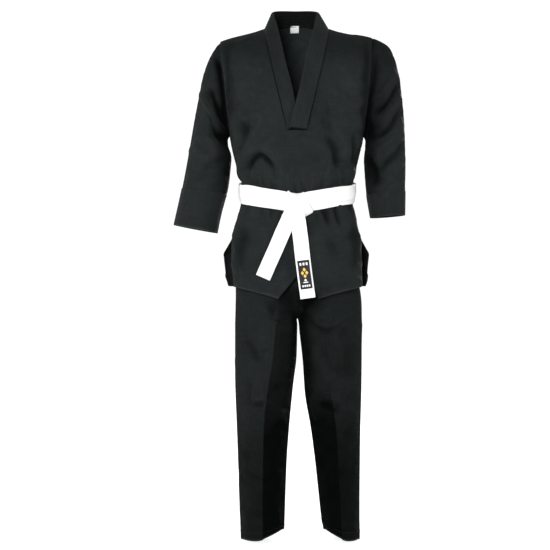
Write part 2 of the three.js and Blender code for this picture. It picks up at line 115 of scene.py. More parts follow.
# ---- Dimensions in millimetres ------------------------------------------------------------

VENT_TOP, BELT_HEIGHT, BELT_DIP = 830.0, 956.0, 26.0
HIP_TOP, WAIST_TOP = 926.0, 965.0
LAPEL_END, UNDERARM, ARMHOLE_MIDDLE = 1117.0, 1118.0, 1240.0
SHOULDER_TIP, NECK_POINT = 1366.0, 1408.0
NECK_HALF, SHOULDER_HALF, ARMHOLE_DEPTH, SHOULDER_ROUND = 83.0, 205.0, 62.0, 95.0
NECK_RISE, RIDGE_OVER_NECK, COLLAR_HEIGHT = 20.0, 18.0, 40.0
SEAM, FULLNESS, CLOTH, HEM_CLOTH = 0.5, 2.5, 1.7, 3.4
TRUNK = (0, 0, 1000)  # a point inside the jacket

JACKET_SIDE = [[830, 177], [898, 160], [926, 154.5], [988, 154], [1034, 166], [1075, 176],
               [1118, 184], [1240, 194], [1366, 205], [1410, 208.8]]
JACKET_FRONT = [[830, 118], [898, 102], [962, 102], [1034, 112], [1125, 121], [1240, 119], [1366, 104]]
JACKET_BACK = [[830, 116], [944, 98], [1016, 98], [1060, 107], [1125, 117], [1240, 118], [1366, 100]]
HIP_SIDE = [[700, 166], [850, 152], [926, 141]]
HIP_DEPTH = [[700, 104], [800, 100], [870, 91], [926, 86]]
LEG_DEPTH = [[0, 95], [442, 96], [592, 100], [700, 104]]
LAPEL_SEAM = [[1117, 26], [1306, 72], [1366, 84], [1408, 84]]
FRONT_SKIRT_SIDE = [[667, 168], [760, 178], [830, 177]]
BACK_SKIRT_SIDE = [[690, 184], [726, 194], [790, 201], [830, 177]]
SKIRT_STANDOFF = [[667, 30], [790, 20], [830, 0.5]]
NOTCH = {-1: [[667, -51], [752, 20], [830, 0]], 1: [[672, 56], [752, 20.5], [830, 0]]}
NOTCH_TOP = 752.0
FRONT_HEM, BACK_HEM = (667.0, 699.0), (684.0, 700.0)
FRONT_HEM_DEPTH, BACK_HEM_DEPTH = 124.0, 132.0
LEGS = {
    "right": [[0, -151, -35], [129, -157, -31], [232, -160, -27], [335, -164, -19],
              [437, -168, -9], [500, -168, 0], [592, -168, 2]],
    "left": [[0, 173, 76], [129, 173, 62], [206, 174, 54], [309, 175, 41], [400, 178, 24],
             [500, 179, 18], [592, 179, 7]],
}
FORK = 592.0
SLEEVES = {
    "right": ([[-207, 1366], [-248, 1300], [-274, 1187], [-296, 1062], [-314, 967], [-336, 868]],
              [[-187, 1117], [-189, 1104], [-188, 1085], [-180, 1045], [-199, 950], [-219, 846]]),
    "left": ([[207, 1366], [262, 1325], [291, 1190], [299, 1055], [298, 960], [297, 895]],
             [[187, 1117], [190, 1102], [190, 1082], [187, 1040], [196, 950], [205, 888]]),
}
SLEEVE_DEPTH = [[0, 62], [0.3, 64], [0.6, 68], [1, 68]]
CUFF_START = 0.80
SIDE_OF = {"right": -1, "left": 1}

# ---- Small tools --------------------------------------------------------------------------


def at(table, position, column=1):
    """Interpolation in a [position, value] table, with its corners rounded off."""
    rows = np.array(table, float)
    position = np.asarray(position, float)
    spread = 0.035 * (rows[-1, 0] - rows[0, 0])
    shifts = np.linspace(-spread, spread, 5)
    return np.mean([np.interp(position + s, rows[:, 0], rows[:, column]) for s in shifts], axis=0)


def ease(t):
    t = np.clip(t, 0, 1)
    return t * t * (3 - 2 * t)


def mix(a, b, t):
    return a + (b - a) * t


def power(value, exponent):
    return np.sign(value) * np.abs(value) ** exponent


def round_over(t):
    return np.sqrt(np.clip(1 - (1 - np.clip(t, 0, 1)) ** 2, 0, 1))


def across(share):
    return np.clip(1 - np.abs(share) ** FULLNESS, 0, 1) ** (1 / FULLNESS)


def catmull(points, t):
    """The point at t, from 0 to 1, of a smooth curve through the points."""
    p = np.array(points, float)
    spans = len(p) - 1
    p = np.vstack([2 * p[0] - p[1], p, 2 * p[-1] - p[-2]])
    s = np.clip(np.asarray(t, float) * spans, 0, spans - 1e-9)
    k = s.astype(int)
    f = (s - k)[..., None]
    a, b, c, d = p[k], p[k + 1], p[k + 2], p[k + 3]
    return 0.5 * (2 * b + (c - a) * f + (2 * a - 5 * b + 4 * c - d) * f**2
                  + (3 * b - a - 3 * c + d) * f**3)


def nearest_on(x, z, points):
    """Distance to a smooth line through the points, the side of it, and the share along it."""
    line = catmull(points, steps(4 * len(points) - 4)) if len(points) > 2 else np.array(points, float)
    step = np.diff(line, axis=0)
    length = np.hypot(step[:, 0], step[:, 1])
    run = np.concatenate([[0], np.cumsum(length)])
    best = np.full(x.shape, 1e9)
    side, share = np.zeros(x.shape), np.zeros(x.shape)
    for k, (sx, sz) in enumerate(step):
        rx, rz = x - line[k, 0], z - line[k, 1]
        t = np.clip((rx * sx + rz * sz) / length[k] ** 2, 0, 1)
        d = np.hypot(rx - t * sx, rz - t * sz)
        nearer = d < best
        best = np.where(nearer, d, best)
        side = np.where(nearer, np.sign(sx * rz - sz * rx), side)
        share = np.where(nearer, (run[k] + t * length[k]) / run[-1], share)
    return best, side, share


def fold(x, z, points, height, width, skew=0.0, ends=(0.3, 0.3)):
    """Height of a fold in the cloth along a line; skew makes one flank steeper than the other."""
    distance, side, share = nearest_on(x, z, points)
    flank = width * (1 + skew * side)
    taper = ease(share / ends[0]) * ease((1 - share) / ends[1])
    return height * np.exp(-((distance / flank) ** 2)) * taper


def folds(x, z, rows):
    total = np.zeros(x.shape)
    for points, height, width, *rest in rows:
        total += fold(x, z, points, height, width, *rest)
    return total


LEAN_SPREAD = 0.8


def crumple(x, z, seed, count, height, width, length, lean=0.0):
    """Many short shallow folds at seeded places, leaning lean radians from upright."""
    rng = np.random.default_rng(seed)
    total = np.zeros(x.shape)
    low_x, high_x, low_z, high_z = x.min(), x.max(), z.min(), z.max()
    for _ in range(count):
        cx, cz = rng.uniform(low_x, high_x), rng.uniform(low_z, high_z)
        turn = lean + rng.normal(0, LEAN_SPREAD)
        half = rng.uniform(0.5, 1.2) * length / 2
        bow = rng.uniform(-0.3, 0.3) * half
        ax, az = math.sin(turn), math.cos(turn)
        line = [(cx - ax * half, cz - az * half), (cx + az * bow, cz - ax * bow),
                (cx + ax * half, cz + az * half)]
        total += fold(x, z, line, rng.uniform(-1, 1) * height, rng.uniform(0.6, 1.3) * width,
                      rng.uniform(-0.4, 0.4), (0.5, 0.5))
    return total


def unit(vectors):
    return vectors / np.maximum(np.linalg.norm(vectors, axis=-1, keepdims=True), 1e-9)


def run_along(points):
    return np.concatenate([[0], np.cumsum(np.linalg.norm(np.diff(points, axis=0), axis=1))])


def at_run(where, run, points):
    return np.stack([np.interp(where, run, points[:, k]) for k in range(3)], axis=1)


def grid_normals(points, wrap, inside=None):
    """Unit normals of a grid of points, pointing away from inside or from each row's middle."""
    if wrap:
        wide = np.concatenate([points[:, -2:], points, points[:, :2]], axis=1)
        along_u = np.gradient(wide, axis=1)[:, 2:-2]
    else:
        along_u = np.gradient(points, axis=1)
    normal = unit(np.cross(along_u, np.gradient(points, axis=0)))
    middle = points.mean(axis=1, keepdims=True) if inside is None else np.asarray(inside, float)
    return normal if np.sum(normal * (points - middle)) >= 0 else -normal


def grid_quads(points, normal, wrap, cells=None):
    """The grid's quads, wound so that they face along its normals."""
    index = np.arange(points[..., 0].size).reshape(points.shape[:2])
    right = np.roll(index, -1, axis=1) if wrap else index[:, 1:]
    left = index if wrap else index[:, :-1]
    quads = np.stack([left[:-1], right[:-1], right[1:], left[1:]], axis=-1)
    quads = quads.reshape(-1, 4) if cells is None else quads[cells]
    flat = points.reshape(-1, 3)
    a, b, d = flat[quads[:, 0]], flat[quads[:, 1]], flat[quads[:, 3]]
    facing = np.sum(np.cross(b - a, d - a) * normal.reshape(-1, 3)[quads[:, 0]])
    return quads if facing >= 0 else quads[:, ::-1]


def link(name, mesh):
    piece = bpy.data.objects.new(name, mesh)
    bpy.context.scene.collection.objects.link(piece)
    return piece


def quad_mesh(name, verts, quads, uv=None):
    """A smooth-shaded mesh of quads; verts in millimetres."""
    mesh = bpy.data.meshes.new(name)
    mesh.vertices.add(len(verts))
    mesh.vertices.foreach_set("co", place(drape(verts)).astype(np.float32).ravel())
    mesh.loops.add(quads.size)
    mesh.loops.foreach_set("vertex_index", quads.astype(np.int32).ravel())
    mesh.polygons.add(len(quads))
    mesh.polygons.foreach_set("loop_start", np.arange(0, quads.size, 4, dtype=np.int32))
    mesh.polygons.foreach_set("use_smooth", np.ones(len(quads), bool))
    if uv is not None:
        layer = mesh.uv_layers.new(name="cloth")
        layer.data.foreach_set("uv", uv[quads.ravel()].astype(np.float32).ravel())
    mesh.update(calc_edges=True)
    mesh.validate()
    return mesh


def shell(name, points, thickness=CLOTH, wrap=False, cells=None, inside=None, wear_and_shade=0.0, normal=None):
    """A closed cloth sheet around a grid of middle points.
    A piece cut from a larger grid takes that grid's normal, so that no cut shows in its shading."""
    rows, columns = points.shape[:2]
    cut = normal is not None
    if not cut:
        normal = grid_normals(points, wrap, inside)
    half = np.broadcast_to(np.asarray(thickness, float), (rows, columns))[..., None] / 2
    outer, inner = points + normal * half, points - normal * half
    quads = grid_quads(outer, normal, wrap, cells)
    edges = np.concatenate([quads[:, [k, (k + 1) % 4]] for k in range(4)])
    key = edges.min(axis=1) * (rows * columns) + edges.max(axis=1)
    _, first, count = np.unique(key, return_index=True, return_counts=True)
    rim = edges[first[count == 1]]
    offset = rows * columns
    faces = np.concatenate([
        quads,
        quads[:, ::-1] + offset,
        np.stack([rim[:, 1], rim[:, 0], rim[:, 0] + offset, rim[:, 1] + offset], axis=1),
    ])
    step_u = np.linalg.norm(np.diff(points, axis=1), axis=2).mean(axis=0)
    step_v = np.linalg.norm(np.diff(points, axis=0), axis=2).mean(axis=1)
    u = np.concatenate([[0], np.cumsum(step_u)]) / 1000
    v = np.concatenate([[0], np.cumsum(step_v)]) / 1000
    uv = np.stack(np.broadcast_arrays(u[None, :], v[:, None]), axis=-1).reshape(-1, 2)
    verts = np.concatenate([outer.reshape(-1, 3), inner.reshape(-1, 3)])
    mesh = quad_mesh(name, verts, faces, np.concatenate([uv, uv]))
    used = np.zeros(len(verts), bool)
    used[faces.ravel()] = True
    # Per-vertex wear and painted light: above 0 wear and painted highlights, below 0 painted shade.
    highlight_and_wear = mesh.attributes.new("wear_and_shade", "FLOAT", "POINT")
    highlight_and_wear.data.foreach_set("value", np.tile(np.broadcast_to(wear_and_shade, (rows, columns)).ravel(), 2).astype(np.float32))
    if not used.all():
        drop_loose(mesh)
    if cut:
        flat = normal.reshape(-1, 3)
        mesh.normals_split_custom_set_from_vertices(np.concatenate([flat, -flat]).tolist())
    return link(name, mesh)


def drop_loose(mesh):
    edit = bmesh.new()
    edit.from_mesh(mesh)
    bmesh.ops.delete(edit, geom=[v for v in edit.verts if not v.link_faces], context="VERTS")
    edit.to_mesh(mesh)
    edit.free()


def bend(piece, a, b, weight):
    """Bakes the piece's transform into its mesh and works out the weight, a function of its vertices in mm, but keeps
    it nowhere; a and b are not used.
    """
    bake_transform(piece)
    count = len(piece.data.vertices)
    co = np.empty(count * 3, np.float32)
    piece.data.vertices.foreach_get("co", co)
    mm = (co.reshape(-1, 3) - ORIGIN) * 1000
    value = np.clip(weight(mm), 0, 1).astype(np.float32)


# ---- Cloth simulation ---------------------------------------------------------------------


SETTLE_FRAMES, SETTLE_EVERY = 22, 2  # length of the simulation, and how coarse its grid is


def settle(name, points, wrap, held, growth, cap, inside=None):
    """Lets a grid of cloth that is growth longer than its shape buckle between its held parts."""
    rows = np.unique(np.append(np.arange(0, points.shape[0], SETTLE_EVERY), points.shape[0] - 1))
    columns = np.arange(0, points.shape[1], SETTLE_EVERY)
    if not wrap:
        columns = np.unique(np.append(columns, points.shape[1] - 1))
    coarse = points[np.ix_(rows, columns)]
    if inside is not None and np.ndim(inside) == 3:
        inside = inside[rows]
    flat = coarse.reshape(-1, 3)
    quads = grid_quads(coarse, grid_normals(coarse, wrap, inside), wrap)
    piece = link(name + "_rest", quad_mesh(name + "_rest", flat, quads))
    group = piece.vertex_groups.new(name="held")
    grip = np.clip(held[np.ix_(rows, columns)].ravel(), 0, 1)
    for k, weight in enumerate(grip):
        group.add([k], float(weight), "REPLACE")
    cloth = piece.modifiers.new("cloth", "CLOTH")
    for key, value in (
            ("quality", 6), ("mass", 0.25), ("tension_stiffness", 20), ("compression_stiffness", 20),
            ("shear_stiffness", 8), ("bending_stiffness", 3.0), ("tension_damping", 15), ("compression_damping", 15),
            ("shear_damping", 15), ("bending_damping", 1.0), ("air_damping", 4), ("shrink_min", -growth),
            ("shrink_max", -growth), ("vertex_group_mass", "held"), ("pin_stiffness", 2.0)):
        setattr(cloth.settings, key, value)
    cloth.settings.effector_weights.gravity = 0.0
    cloth.collision_settings.use_collision = False
    cloth.collision_settings.use_self_collision = False
    cloth.point_cache.frame_start, cloth.point_cache.frame_end = 1, SETTLE_FRAMES
    scene = bpy.context.scene
    for k in range(1, SETTLE_FRAMES + 1):
        scene.frame_set(k)
    graph = bpy.context.evaluated_depsgraph_get()
    done = piece.evaluated_get(graph).to_mesh()
    co = np.empty(len(done.vertices) * 3, np.float32)
    done.vertices.foreach_get("co", co)
    moved = ((co.reshape(-1, 3).astype(float) - ORIGIN) * 1000 - flat).reshape(coarse.shape)
    piece.evaluated_get(graph).to_mesh_clear()
    bpy.data.objects.remove(piece, do_unlink=True)
    scene.frame_set(1)
    size = np.linalg.norm(moved, axis=2, keepdims=True)
    moved *= np.minimum(1, cap / np.maximum(size, 1e-6))
    moved *= (1 - grip.reshape(coarse.shape[:2]) ** 2)[..., None]
    full = np.empty(points.shape)
    if wrap:
        moved = np.concatenate([moved, moved[:, :1]], axis=1)
        columns = np.append(columns, points.shape[1])
    for axis in range(3):
        by_row = np.array([np.interp(np.arange(points.shape[0]), rows, column) for column in moved[..., axis].T]).T
        full[..., axis] = np.array([np.interp(np.arange(points.shape[1]), columns, row) for row in by_row])
    return points + soften(full, wrap)


def soften(field, wrap):
    """Evens out the small steps left by the coarser grid."""
    for _ in range(2):
        for axis in (0, 1):
            if axis == 1 and wrap:
                before, after = np.roll(field, 1, axis=1), np.roll(field, -1, axis=1)
            else:
                pad = [(0, 0)] * 3
                pad[axis] = (1, 1)
                wide = np.pad(field, pad, mode="edge")
                before, after = (np.take(wide, range(k, k + field.shape[axis]), axis=axis) for k in (0, 2))
            field = 0.5 * field + 0.25 * (before + after)
    return field


# ---- Materials ----------------------------------------------------------------------------


class Nodes:
    """Short hand for building a node material."""

    def __init__(self, name):
        self.material = bpy.data.materials.new(name)
        self.material.use_nodes = True
        self.tree = self.material.node_tree
        self.shader = self.tree.nodes["Principled BSDF"]

    def add(self, kind, inputs=None, **settings):
        node = self.tree.nodes.new(kind)
        for key, value in settings.items():
            setattr(node, key, value)
        for key, value in (inputs or {}).items():
            self.put(value, node.inputs[key])
        return node

    def put(self, value, socket):
        if isinstance(value, bpy.types.NodeSocket):
            self.tree.links.new(value, socket)
        else:
            socket.default_value = value

    def math(self, operation, a, b=None):
        inputs = {0: a} if b is None else {0: a, 1: b}
        return self.add("ShaderNodeMath", inputs, operation=operation).outputs[0]

    def times(self, a, b):
        return self.math("MULTIPLY", a, b)

    def position(self):
        return self.add("ShaderNodeTexCoord").outputs["Object"]

    def bump(self, strength, distance, height, **more):
        inputs = {"Strength": strength, "Distance": distance, "Height": height, **more}
        return self.add("ShaderNodeBump", inputs).outputs[0]

    def surface(self, **values):
        """Sets the shader's inputs, named with _ for each space, and gives the finished material."""
        for key, value in values.items():
            self.put(value, self.shader.inputs[key.replace("_", " ")])
        return self.material

    def noise(self, vector, scale, detail=3.0, roughness=0.5):
        inputs = {"Vector": vector, "Scale": scale, "Detail": detail, "Roughness": roughness}
        return self.add("ShaderNodeTexNoise", inputs).outputs["Fac"]

    def ramp(self, value, low, high, out_low, out_high):
        node = self.add("ShaderNodeMapRange", {"Value": value, "From Min": low, "From Max": high,
                                               "To Min": out_low, "To Max": out_high})
        return node.outputs["Result"]

    def colours(self, factor, a, b):
        node = self.add("ShaderNodeMix", data_type="RGBA")
        for value, key in ((factor, "Factor"), (a, "A"), (b, "B")):
            self.put(value, node.inputs[key])
        return node.outputs["Result"]


def grey(value, tint=(1.0, 1.0, 1.0)):
    return (value * tint[0], value * tint[1], value * tint[2], 1.0)


def scaled(colour, factor):
    return tuple(factor * c for c in colour[:3]) + (1,)


def woven(name, dark, light, highlight_and_wear, pitch=1.5, lean=1.0, depth=0.22, sheen=0.04, rough=(0.72, 0.92), lint=0.5):
    """Woven cloth: two thread directions that make diagonal ribs, colour drift, lint, wear, painted shade in the
    weave's hollows, and painted highlights and painted shade from a vertex attribute that also holds the wear.
    """
    n = Nodes(name)
    black = dark[0] < 0.2
    uv = n.add("ShaderNodeUVMap", uv_map="cloth").outputs["UV"]
    position = n.position()
    split = n.add("ShaderNodeSeparateXYZ", {"Vector": uv})
    u, v = split.outputs["X"], split.outputs["Y"]
    wobble = n.times(n.noise(position, 160.0, 2.0), 0.0009)
    turn = 2 * math.pi / (pitch / 1000)
    rib = n.math("SINE", n.math("ADD", n.times(n.math("ADD", u, wobble), turn), n.times(v, turn * lean)))
    weft = n.math("SINE", n.times(v, turn * 2.2))
    warp = n.math("SINE", n.times(u, turn * 2.2))
    height = n.math("ADD", n.times(rib, 0.65), n.times(n.times(weft, warp), 0.35))
    slub = n.noise(position, 900.0, 2.0, 0.6)
    height = n.math("ADD", height, n.times(slub, 0.8))
    drift = n.noise(position, 9.0, 3.0, 0.55)
    mottle = n.noise(position, 70.0, 4.0, 0.6)
    grain = [n.add("ShaderNodeMapping", {"Vector": uv, "Scale": scale}).outputs["Vector"]
             for scale in ((330.0, 26.0, 1.0), (30.0, 300.0, 1.0))]
    streaks = n.times(n.math("ADD", *[n.noise(vector, 1.0, 2.0, 0.6) for vector in grain]), 0.5)
    wear_and_shade = n.add("ShaderNodeAttribute", attribute_name="wear_and_shade").outputs["Fac"]
    base = n.colours(n.ramp(drift, 0.35, 0.68, 0.0, 1.0), dark, light)
    base = n.colours(n.ramp(mottle, 0.3, 0.75, 0.0, 0.35), base, light)
    base = n.colours(n.ramp(streaks, 0.42, 0.62, 0.0, 0.55), base, scaled(light, 1.3) if black else light)
    base = n.colours(n.ramp(streaks, 0.50, 0.36, 0.0, 0.22), base, scaled(dark, 0.35) if black else dark)
    # Painted shade in the weave's hollows, where the bump's height is low.
    between = n.ramp(height, -1.2, 0.2, 1.0, 0.0)
    base = n.colours(n.times(between, 0.45), base, grey(0.004) if black else grey(0.42))
    # Values above 0 fade the colour: wear, and painted highlights.
    faded_and_lit = n.times(n.math("MAXIMUM", wear_and_shade, 0.0), n.ramp(slub, 0.3, 0.7, 0.25, 1.0))
    base = n.colours(faded_and_lit, base, highlight_and_wear)
    # Values below 0 are painted shade, darkening towards 0.15 of the dark colour.
    painted_shade = n.math("MAXIMUM", n.times(wear_and_shade, -1.0), 0.0)
    base = n.colours(painted_shade, base, scaled(dark, 0.15))
    base = n.colours(n.ramp(n.noise(position, 2600.0, 1.0), 0.72, 0.8, 0.0, lint), base, highlight_and_wear)
    # The painted shade also dims the specular and the sheen.
    lit = n.math("SUBTRACT", 1.0, n.times(painted_shade, 0.92))
    relief = n.bump(0.35, 0.0012, n.noise(position, 45.0, 4.0, 0.55), Normal=n.bump(0.6, depth / 1000, height))
    return n.surface(Base_Color=base, Roughness=n.ramp(mottle, 0.3, 0.7, *rough), Sheen_Roughness=0.45,
                     Specular_IOR_Level=n.times(lit, 0.09 if black else 0.3), Sheen_Weight=n.times(lit, sheen),
                     Sheen_Tint=(1, 1, 1, 1), Normal=relief)


def thread(name, colour, gloss):
    """Sewing thread: two plies twisted together."""
    n = Nodes(name)
    position = n.position()
    ply = n.add("ShaderNodeTexWave", {"Vector": position, "Scale": 900.0, "Distortion": 1.5},
                bands_direction="DIAGONAL").outputs["Fac"]
    shade = n.colours(n.noise(position, 400.0), grey(colour * 0.6), grey(colour * 1.3))
    pale = colour > 0.2
    return n.surface(Base_Color=shade, Roughness=gloss, Sheen_Weight=0.3 if pale else 0.03,
                     Specular_IOR_Level=0.3 if pale else 0.1, Normal=n.bump(0.5, 0.0001, ply))


def gold_thread():
    n = Nodes("gold_thread")
    wave = n.add("ShaderNodeTexWave", {"Vector": n.position(), "Scale": 700.0}).outputs["Fac"]
    return n.surface(Base_Color=(0.75, 0.42, 0.06, 1), Roughness=0.4, Sheen_Weight=0.5,
                     Normal=n.bump(0.6, 0.0002, wave))


COOL = (0.76, 1.0, 0.98)
MATERIALS = {  # the material of each of the record's slots
    "jacket_cloth": woven("jacket_twill", grey(0.0062, COOL), grey(0.0102, COOL), grey(0.045, COOL), sheen=0.022),
    "stitched_band": woven("stitched_band_twill", grey(0.0060, COOL), grey(0.0096, COOL), grey(0.04, COOL), pitch=1.2,
                           sheen=0.03),
    "trouser_cloth": woven("trouser_twill", grey(0.0046, COOL), grey(0.0076, COOL), grey(0.036, COOL), lean=-1.0,
                           sheen=0.012),
    "belt_webbing": woven("belt_cotton", grey(0.60, (1, 1, 0.985)), grey(0.70, (1, 1, 0.99)), grey(0.8), pitch=1.1,
                          sheen=0.2, rough=(0.7, 0.9), lint=0.1),
    "neck_label_tape": woven("neck_label_satin", grey(0.90), grey(0.95), grey(0.97), pitch=0.6, rough=(0.4, 0.55),
                             lint=0.0),
    "belt_label_cloth": woven("belt_label_satin", grey(0.012), grey(0.018), grey(0.05), pitch=0.6, rough=(0.35, 0.5),
                              lint=0.0),
    "elastic": woven("elastic_rib", grey(0.62), grey(0.72), grey(0.8), pitch=2.2, lean=0.0, depth=0.6, lint=0.1),
    "cord": woven("cord_braid", grey(0.02), grey(0.035), grey(0.08), pitch=1.8, lean=0.6, depth=0.8, lint=0.2),
}
BLACK_THREAD = thread("black_thread", 0.012, 0.7)
WHITE_THREAD = thread("white_thread", 0.72, 0.6)
GOLD_THREAD = gold_thread()


def paint_light_inside(piece, amount):
    """Painted light: the inner face of a sheet made by shell is painted lighter than its outer face, and painted shade
    on it is cleared.
    """
    data = piece.data.attributes["wear_and_shade"].data
    for highlight_and_wear in data[len(data) // 2:]:
        highlight_and_wear.value = max(highlight_and_wear.value, 0) + amount


def finish(piece, slot, body, nodes=(), material=None):
    """Gives a piece the material of its record slot, or the given material, attaches it to its body and hides the CAD
    nodes that it stands for.
    body is a name, or two joined bodies and the weight that bend takes; a piece with two bodies is attached to neither."""
    piece.data.materials.append(material or MATERIALS[slot])
    if isinstance(body, tuple):
        bend(piece, *body)
    else:
        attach(piece, body)
    if nodes:
        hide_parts(*nodes)
    return piece


# ---- Stitches -----------------------------------------------------------------------------

DARK_STITCH, PALE_STITCH = (0.38, 3.0, 1.3), (0.3, 2.6, 1.2)  # radius, length and gap


def stitches(name, lines, body, slot="stitched_band", material=BLACK_THREAD, size=DARK_STITCH):
    """One mesh of sewn stitches: lines holds (points, normals) pairs of arrays in millimetres."""
    radius, length, gap = size
    verts, quads = [], []
    first = 0
    for points, normals in lines:
        run = run_along(points)
        count = int(run[-1] // (length + gap))
        starts = (np.arange(count) + 0.25) * (length + gap)
        rings = []
        for share, low in ((0.0, 0.15), (0.5, 1.0), (1.0, 0.15)):
            where = starts + share * length
            up = unit(at_run(where, run, normals))
            ahead = at_run(where + 0.5, run, points) - at_run(where - 0.5, run, points)
            sideways = unit(np.cross(ahead, up)) * radius * (0.55 if low < 1 else 1.0)
            centre = at_run(where, run, points) + up * radius * (low - 0.35)
            rings.append(np.stack([centre + sideways, centre + up * radius * 0.8 * low + up * 0.1, centre - sideways,
                                   centre - up * radius * 0.8], axis=1))
        verts.append(np.stack(rings, axis=1).reshape(-1, 3))
        index = first + np.arange(count * 12).reshape(count, 3, 4)
        for r in range(2):
            for a, b in ((0, 1), (1, 2), (2, 3), (3, 0)):
                quads.append(np.stack([index[:, r, a], index[:, r, b], index[:, r + 1, b], index[:, r + 1, a]], axis=1))
        quads += [index[:, 0, ::-1], index[:, 2, :]]
        first += count * 12
    return finish(link(name, quad_mesh(name, np.concatenate(verts), np.concatenate(quads))), slot, body, (), material)


def grid_line(points, normals, row=None, column=None, off=0.0, wrap=False, part=slice(None)):
    """A row or column of a grid, lifted off along its normals, as a line to sew along."""
    if row is None:
        points, normals, row = points.swapaxes(0, 1), normals.swapaxes(0, 1), column
    k = int(row)
    p, n = mix(points[k], points[min(k + 1, len(points) - 1)], row - k)[part], normals[k][part]
    if wrap:
        p, n = np.vstack([p, p[:1]]), np.vstack([n, n[:1]])
    return p + n * off, n


# ---- Jacket body --------------------------------------------------------------------------


def ridge(x):
    out = np.abs(x) - NECK_HALF
    crown = NECK_RISE + RIDGE_OVER_NECK
    inner = NECK_POINT + crown * (1 - (x / NECK_HALF) ** 2)
    outer = NECK_POINT - out * (NECK_POINT - SHOULDER_TIP) / (SHOULDER_HALF - NECK_HALF)
    return np.where(out < 0, inner, outer)


def armhole_depth(z):
    below = np.clip((ARMHOLE_MIDDLE - z) / (ARMHOLE_MIDDLE - UNDERARM), 0, 1)
    return np.where(z <= UNDERARM, 0.0, ARMHOLE_DEPTH * np.sqrt(1 - below**2))


def jacket_depth(x, z, depth):
    arm = armhole_depth(z)
    soft = np.mean([armhole_depth(z + s) for s in np.linspace(-45, 45, 9)], axis=0)
    arm = mix(soft, arm, ease((np.abs(x / at(JACKET_SIDE, z)) - 0.8) / 0.18))
    swell = arm + (at(depth, z) - arm) * across(x / at(JACKET_SIDE, z))
    return SEAM + swell * round_over((ridge(x) - z) / SHOULDER_ROUND)


def even_columns(count):
    """Shares of the half width, from 0 to 1, evenly spaced along the chest's cross-section."""
    turn = np.linspace(0, math.pi / 2, 400)
    chest_half, chest_deep = 185, 120
    x, y = chest_half * np.sin(turn) ** (2 / FULLNESS), chest_deep * np.cos(turn) ** (2 / FULLNESS)
    run = np.concatenate([[0], np.cumsum(np.hypot(np.diff(x), np.diff(y)))])
    return np.interp(np.linspace(0, run[-1], count + 1), run, x) / chest_half


COLUMNS, BODY_ROWS, SKIRT_ROWS = 74, 150, 84
share = even_columns(COLUMNS)
both_sides = np.concatenate([-share[::-1], share[1:]])
SHOULDER_ARC = 98.0  # length of the cloth's turn over the shoulder


def belt_line(column):
    """Height of the belt's middle at a share of the half width, in front (and mirrored behind)."""
    return BELT_DIP * np.sqrt(np.clip(1 - np.abs(column) ** FULLNESS, 0, 1))


def body_heights(top_x, top, base):
    """Heights of a column's points from the belt to the shoulder, evenly spaced along the cloth."""
    crest = ridge(top_x)
    end = np.arcsin(np.clip(1 - (crest - top) / SHOULDER_ROUND, -1, 1))
    straight = (crest - SHOULDER_ROUND) - base
    s = steps(BODY_ROWS)[:, None] * (straight + SHOULDER_ARC * end)
    turn = np.clip((s - straight) / SHOULDER_ARC, 0, None)
    return np.where(s < straight, base + s, crest - SHOULDER_ROUND * (1 - np.sin(turn)))


def vee(z):
    """Distance of the front's inner edge from the centre: closed below the lapels."""
    return mix(1.2, at(LAPEL_SEAM, np.maximum(z, LAPEL_END)), ease((z - LAPEL_END - 2) / 14))


def halves(make):
    """One grid from the right half, mirrored to run left to right, and the left half."""
    return np.concatenate([make(-1)[:, ::-1], make(1)], axis=1)


def front_body(side):
    top_x, top = mix(84.0, SHOULDER_HALF, share)[None, :], mix(NECK_POINT, SHOULDER_TIP, share)[None, :]
    z = body_heights(top_x, top, BELT_HEIGHT - belt_line(share)[None, :])
    x = side * mix(vee(z), at(JACKET_SIDE, z), share[None, :])
    return xyz(x, -jacket_depth(x, z, JACKET_FRONT), z)


def back_body():
    top_x = both_sides * SHOULDER_HALF
    neckline = NECK_POINT + NECK_RISE * np.maximum(0, 1 - (top_x / NECK_HALF) ** 2)
    top = np.minimum(neckline, ridge(top_x))
    z = body_heights(top_x[None, :], top[None, :], BELT_HEIGHT + belt_line(both_sides)[None, :])
    x = both_sides[None, :] * at(JACKET_SIDE, z)
    return xyz(x, jacket_depth(x, z, JACKET_BACK), z)


def skirt_shape(column, hems, top, flare, hem_depth, vent_depth, jacket):
    """Heights, half widths, distance off the side seam and depths of a skirt, wider below its vents."""
    hem = mix(*hems, np.abs(column))[None, :]
    z = hem + (top[None, :] - hem) * steps(SKIRT_ROWS)[:, None]
    below = z < VENT_TOP
    half = np.where(below, at(flare, z), at(JACKET_SIDE, z))
    standoff = np.where(below, at(SKIRT_STANDOFF, z), SEAM)
    depth = np.where(below, mix(hem_depth, vent_depth, (z - hem) / (VENT_TOP - hem)), at(jacket, z))
    return z, below, half, standoff, depth - standoff


def skirt_front(side):
    z, below, half, standoff, depth = skirt_shape(
        share, FRONT_HEM, BELT_HEIGHT - belt_line(share), FRONT_SKIRT_SIDE, FRONT_HEM_DEPTH, 118.0, JACKET_FRONT)
    middle = at(NOTCH[-1], np.maximum(z, NOTCH_TOP))
    inner = mix(at(NOTCH[side], z), middle + side * 1.2, ease((z - NOTCH_TOP + 4) / 8))
    x = mix(np.where(below, inner, side * 1.2), side * half, share[None, :])
    return xyz(x, -(standoff + depth * across(x / half)), z)


def skirt_back():
    z, _, half, standoff, depth = skirt_shape(
        both_sides, BACK_HEM, BELT_HEIGHT + belt_line(both_sides), BACK_SKIRT_SIDE, BACK_HEM_DEPTH, 116.0, JACKET_BACK)
    x = both_sides[None, :] * half
    return xyz(x, standoff + depth * across(x / half), z)


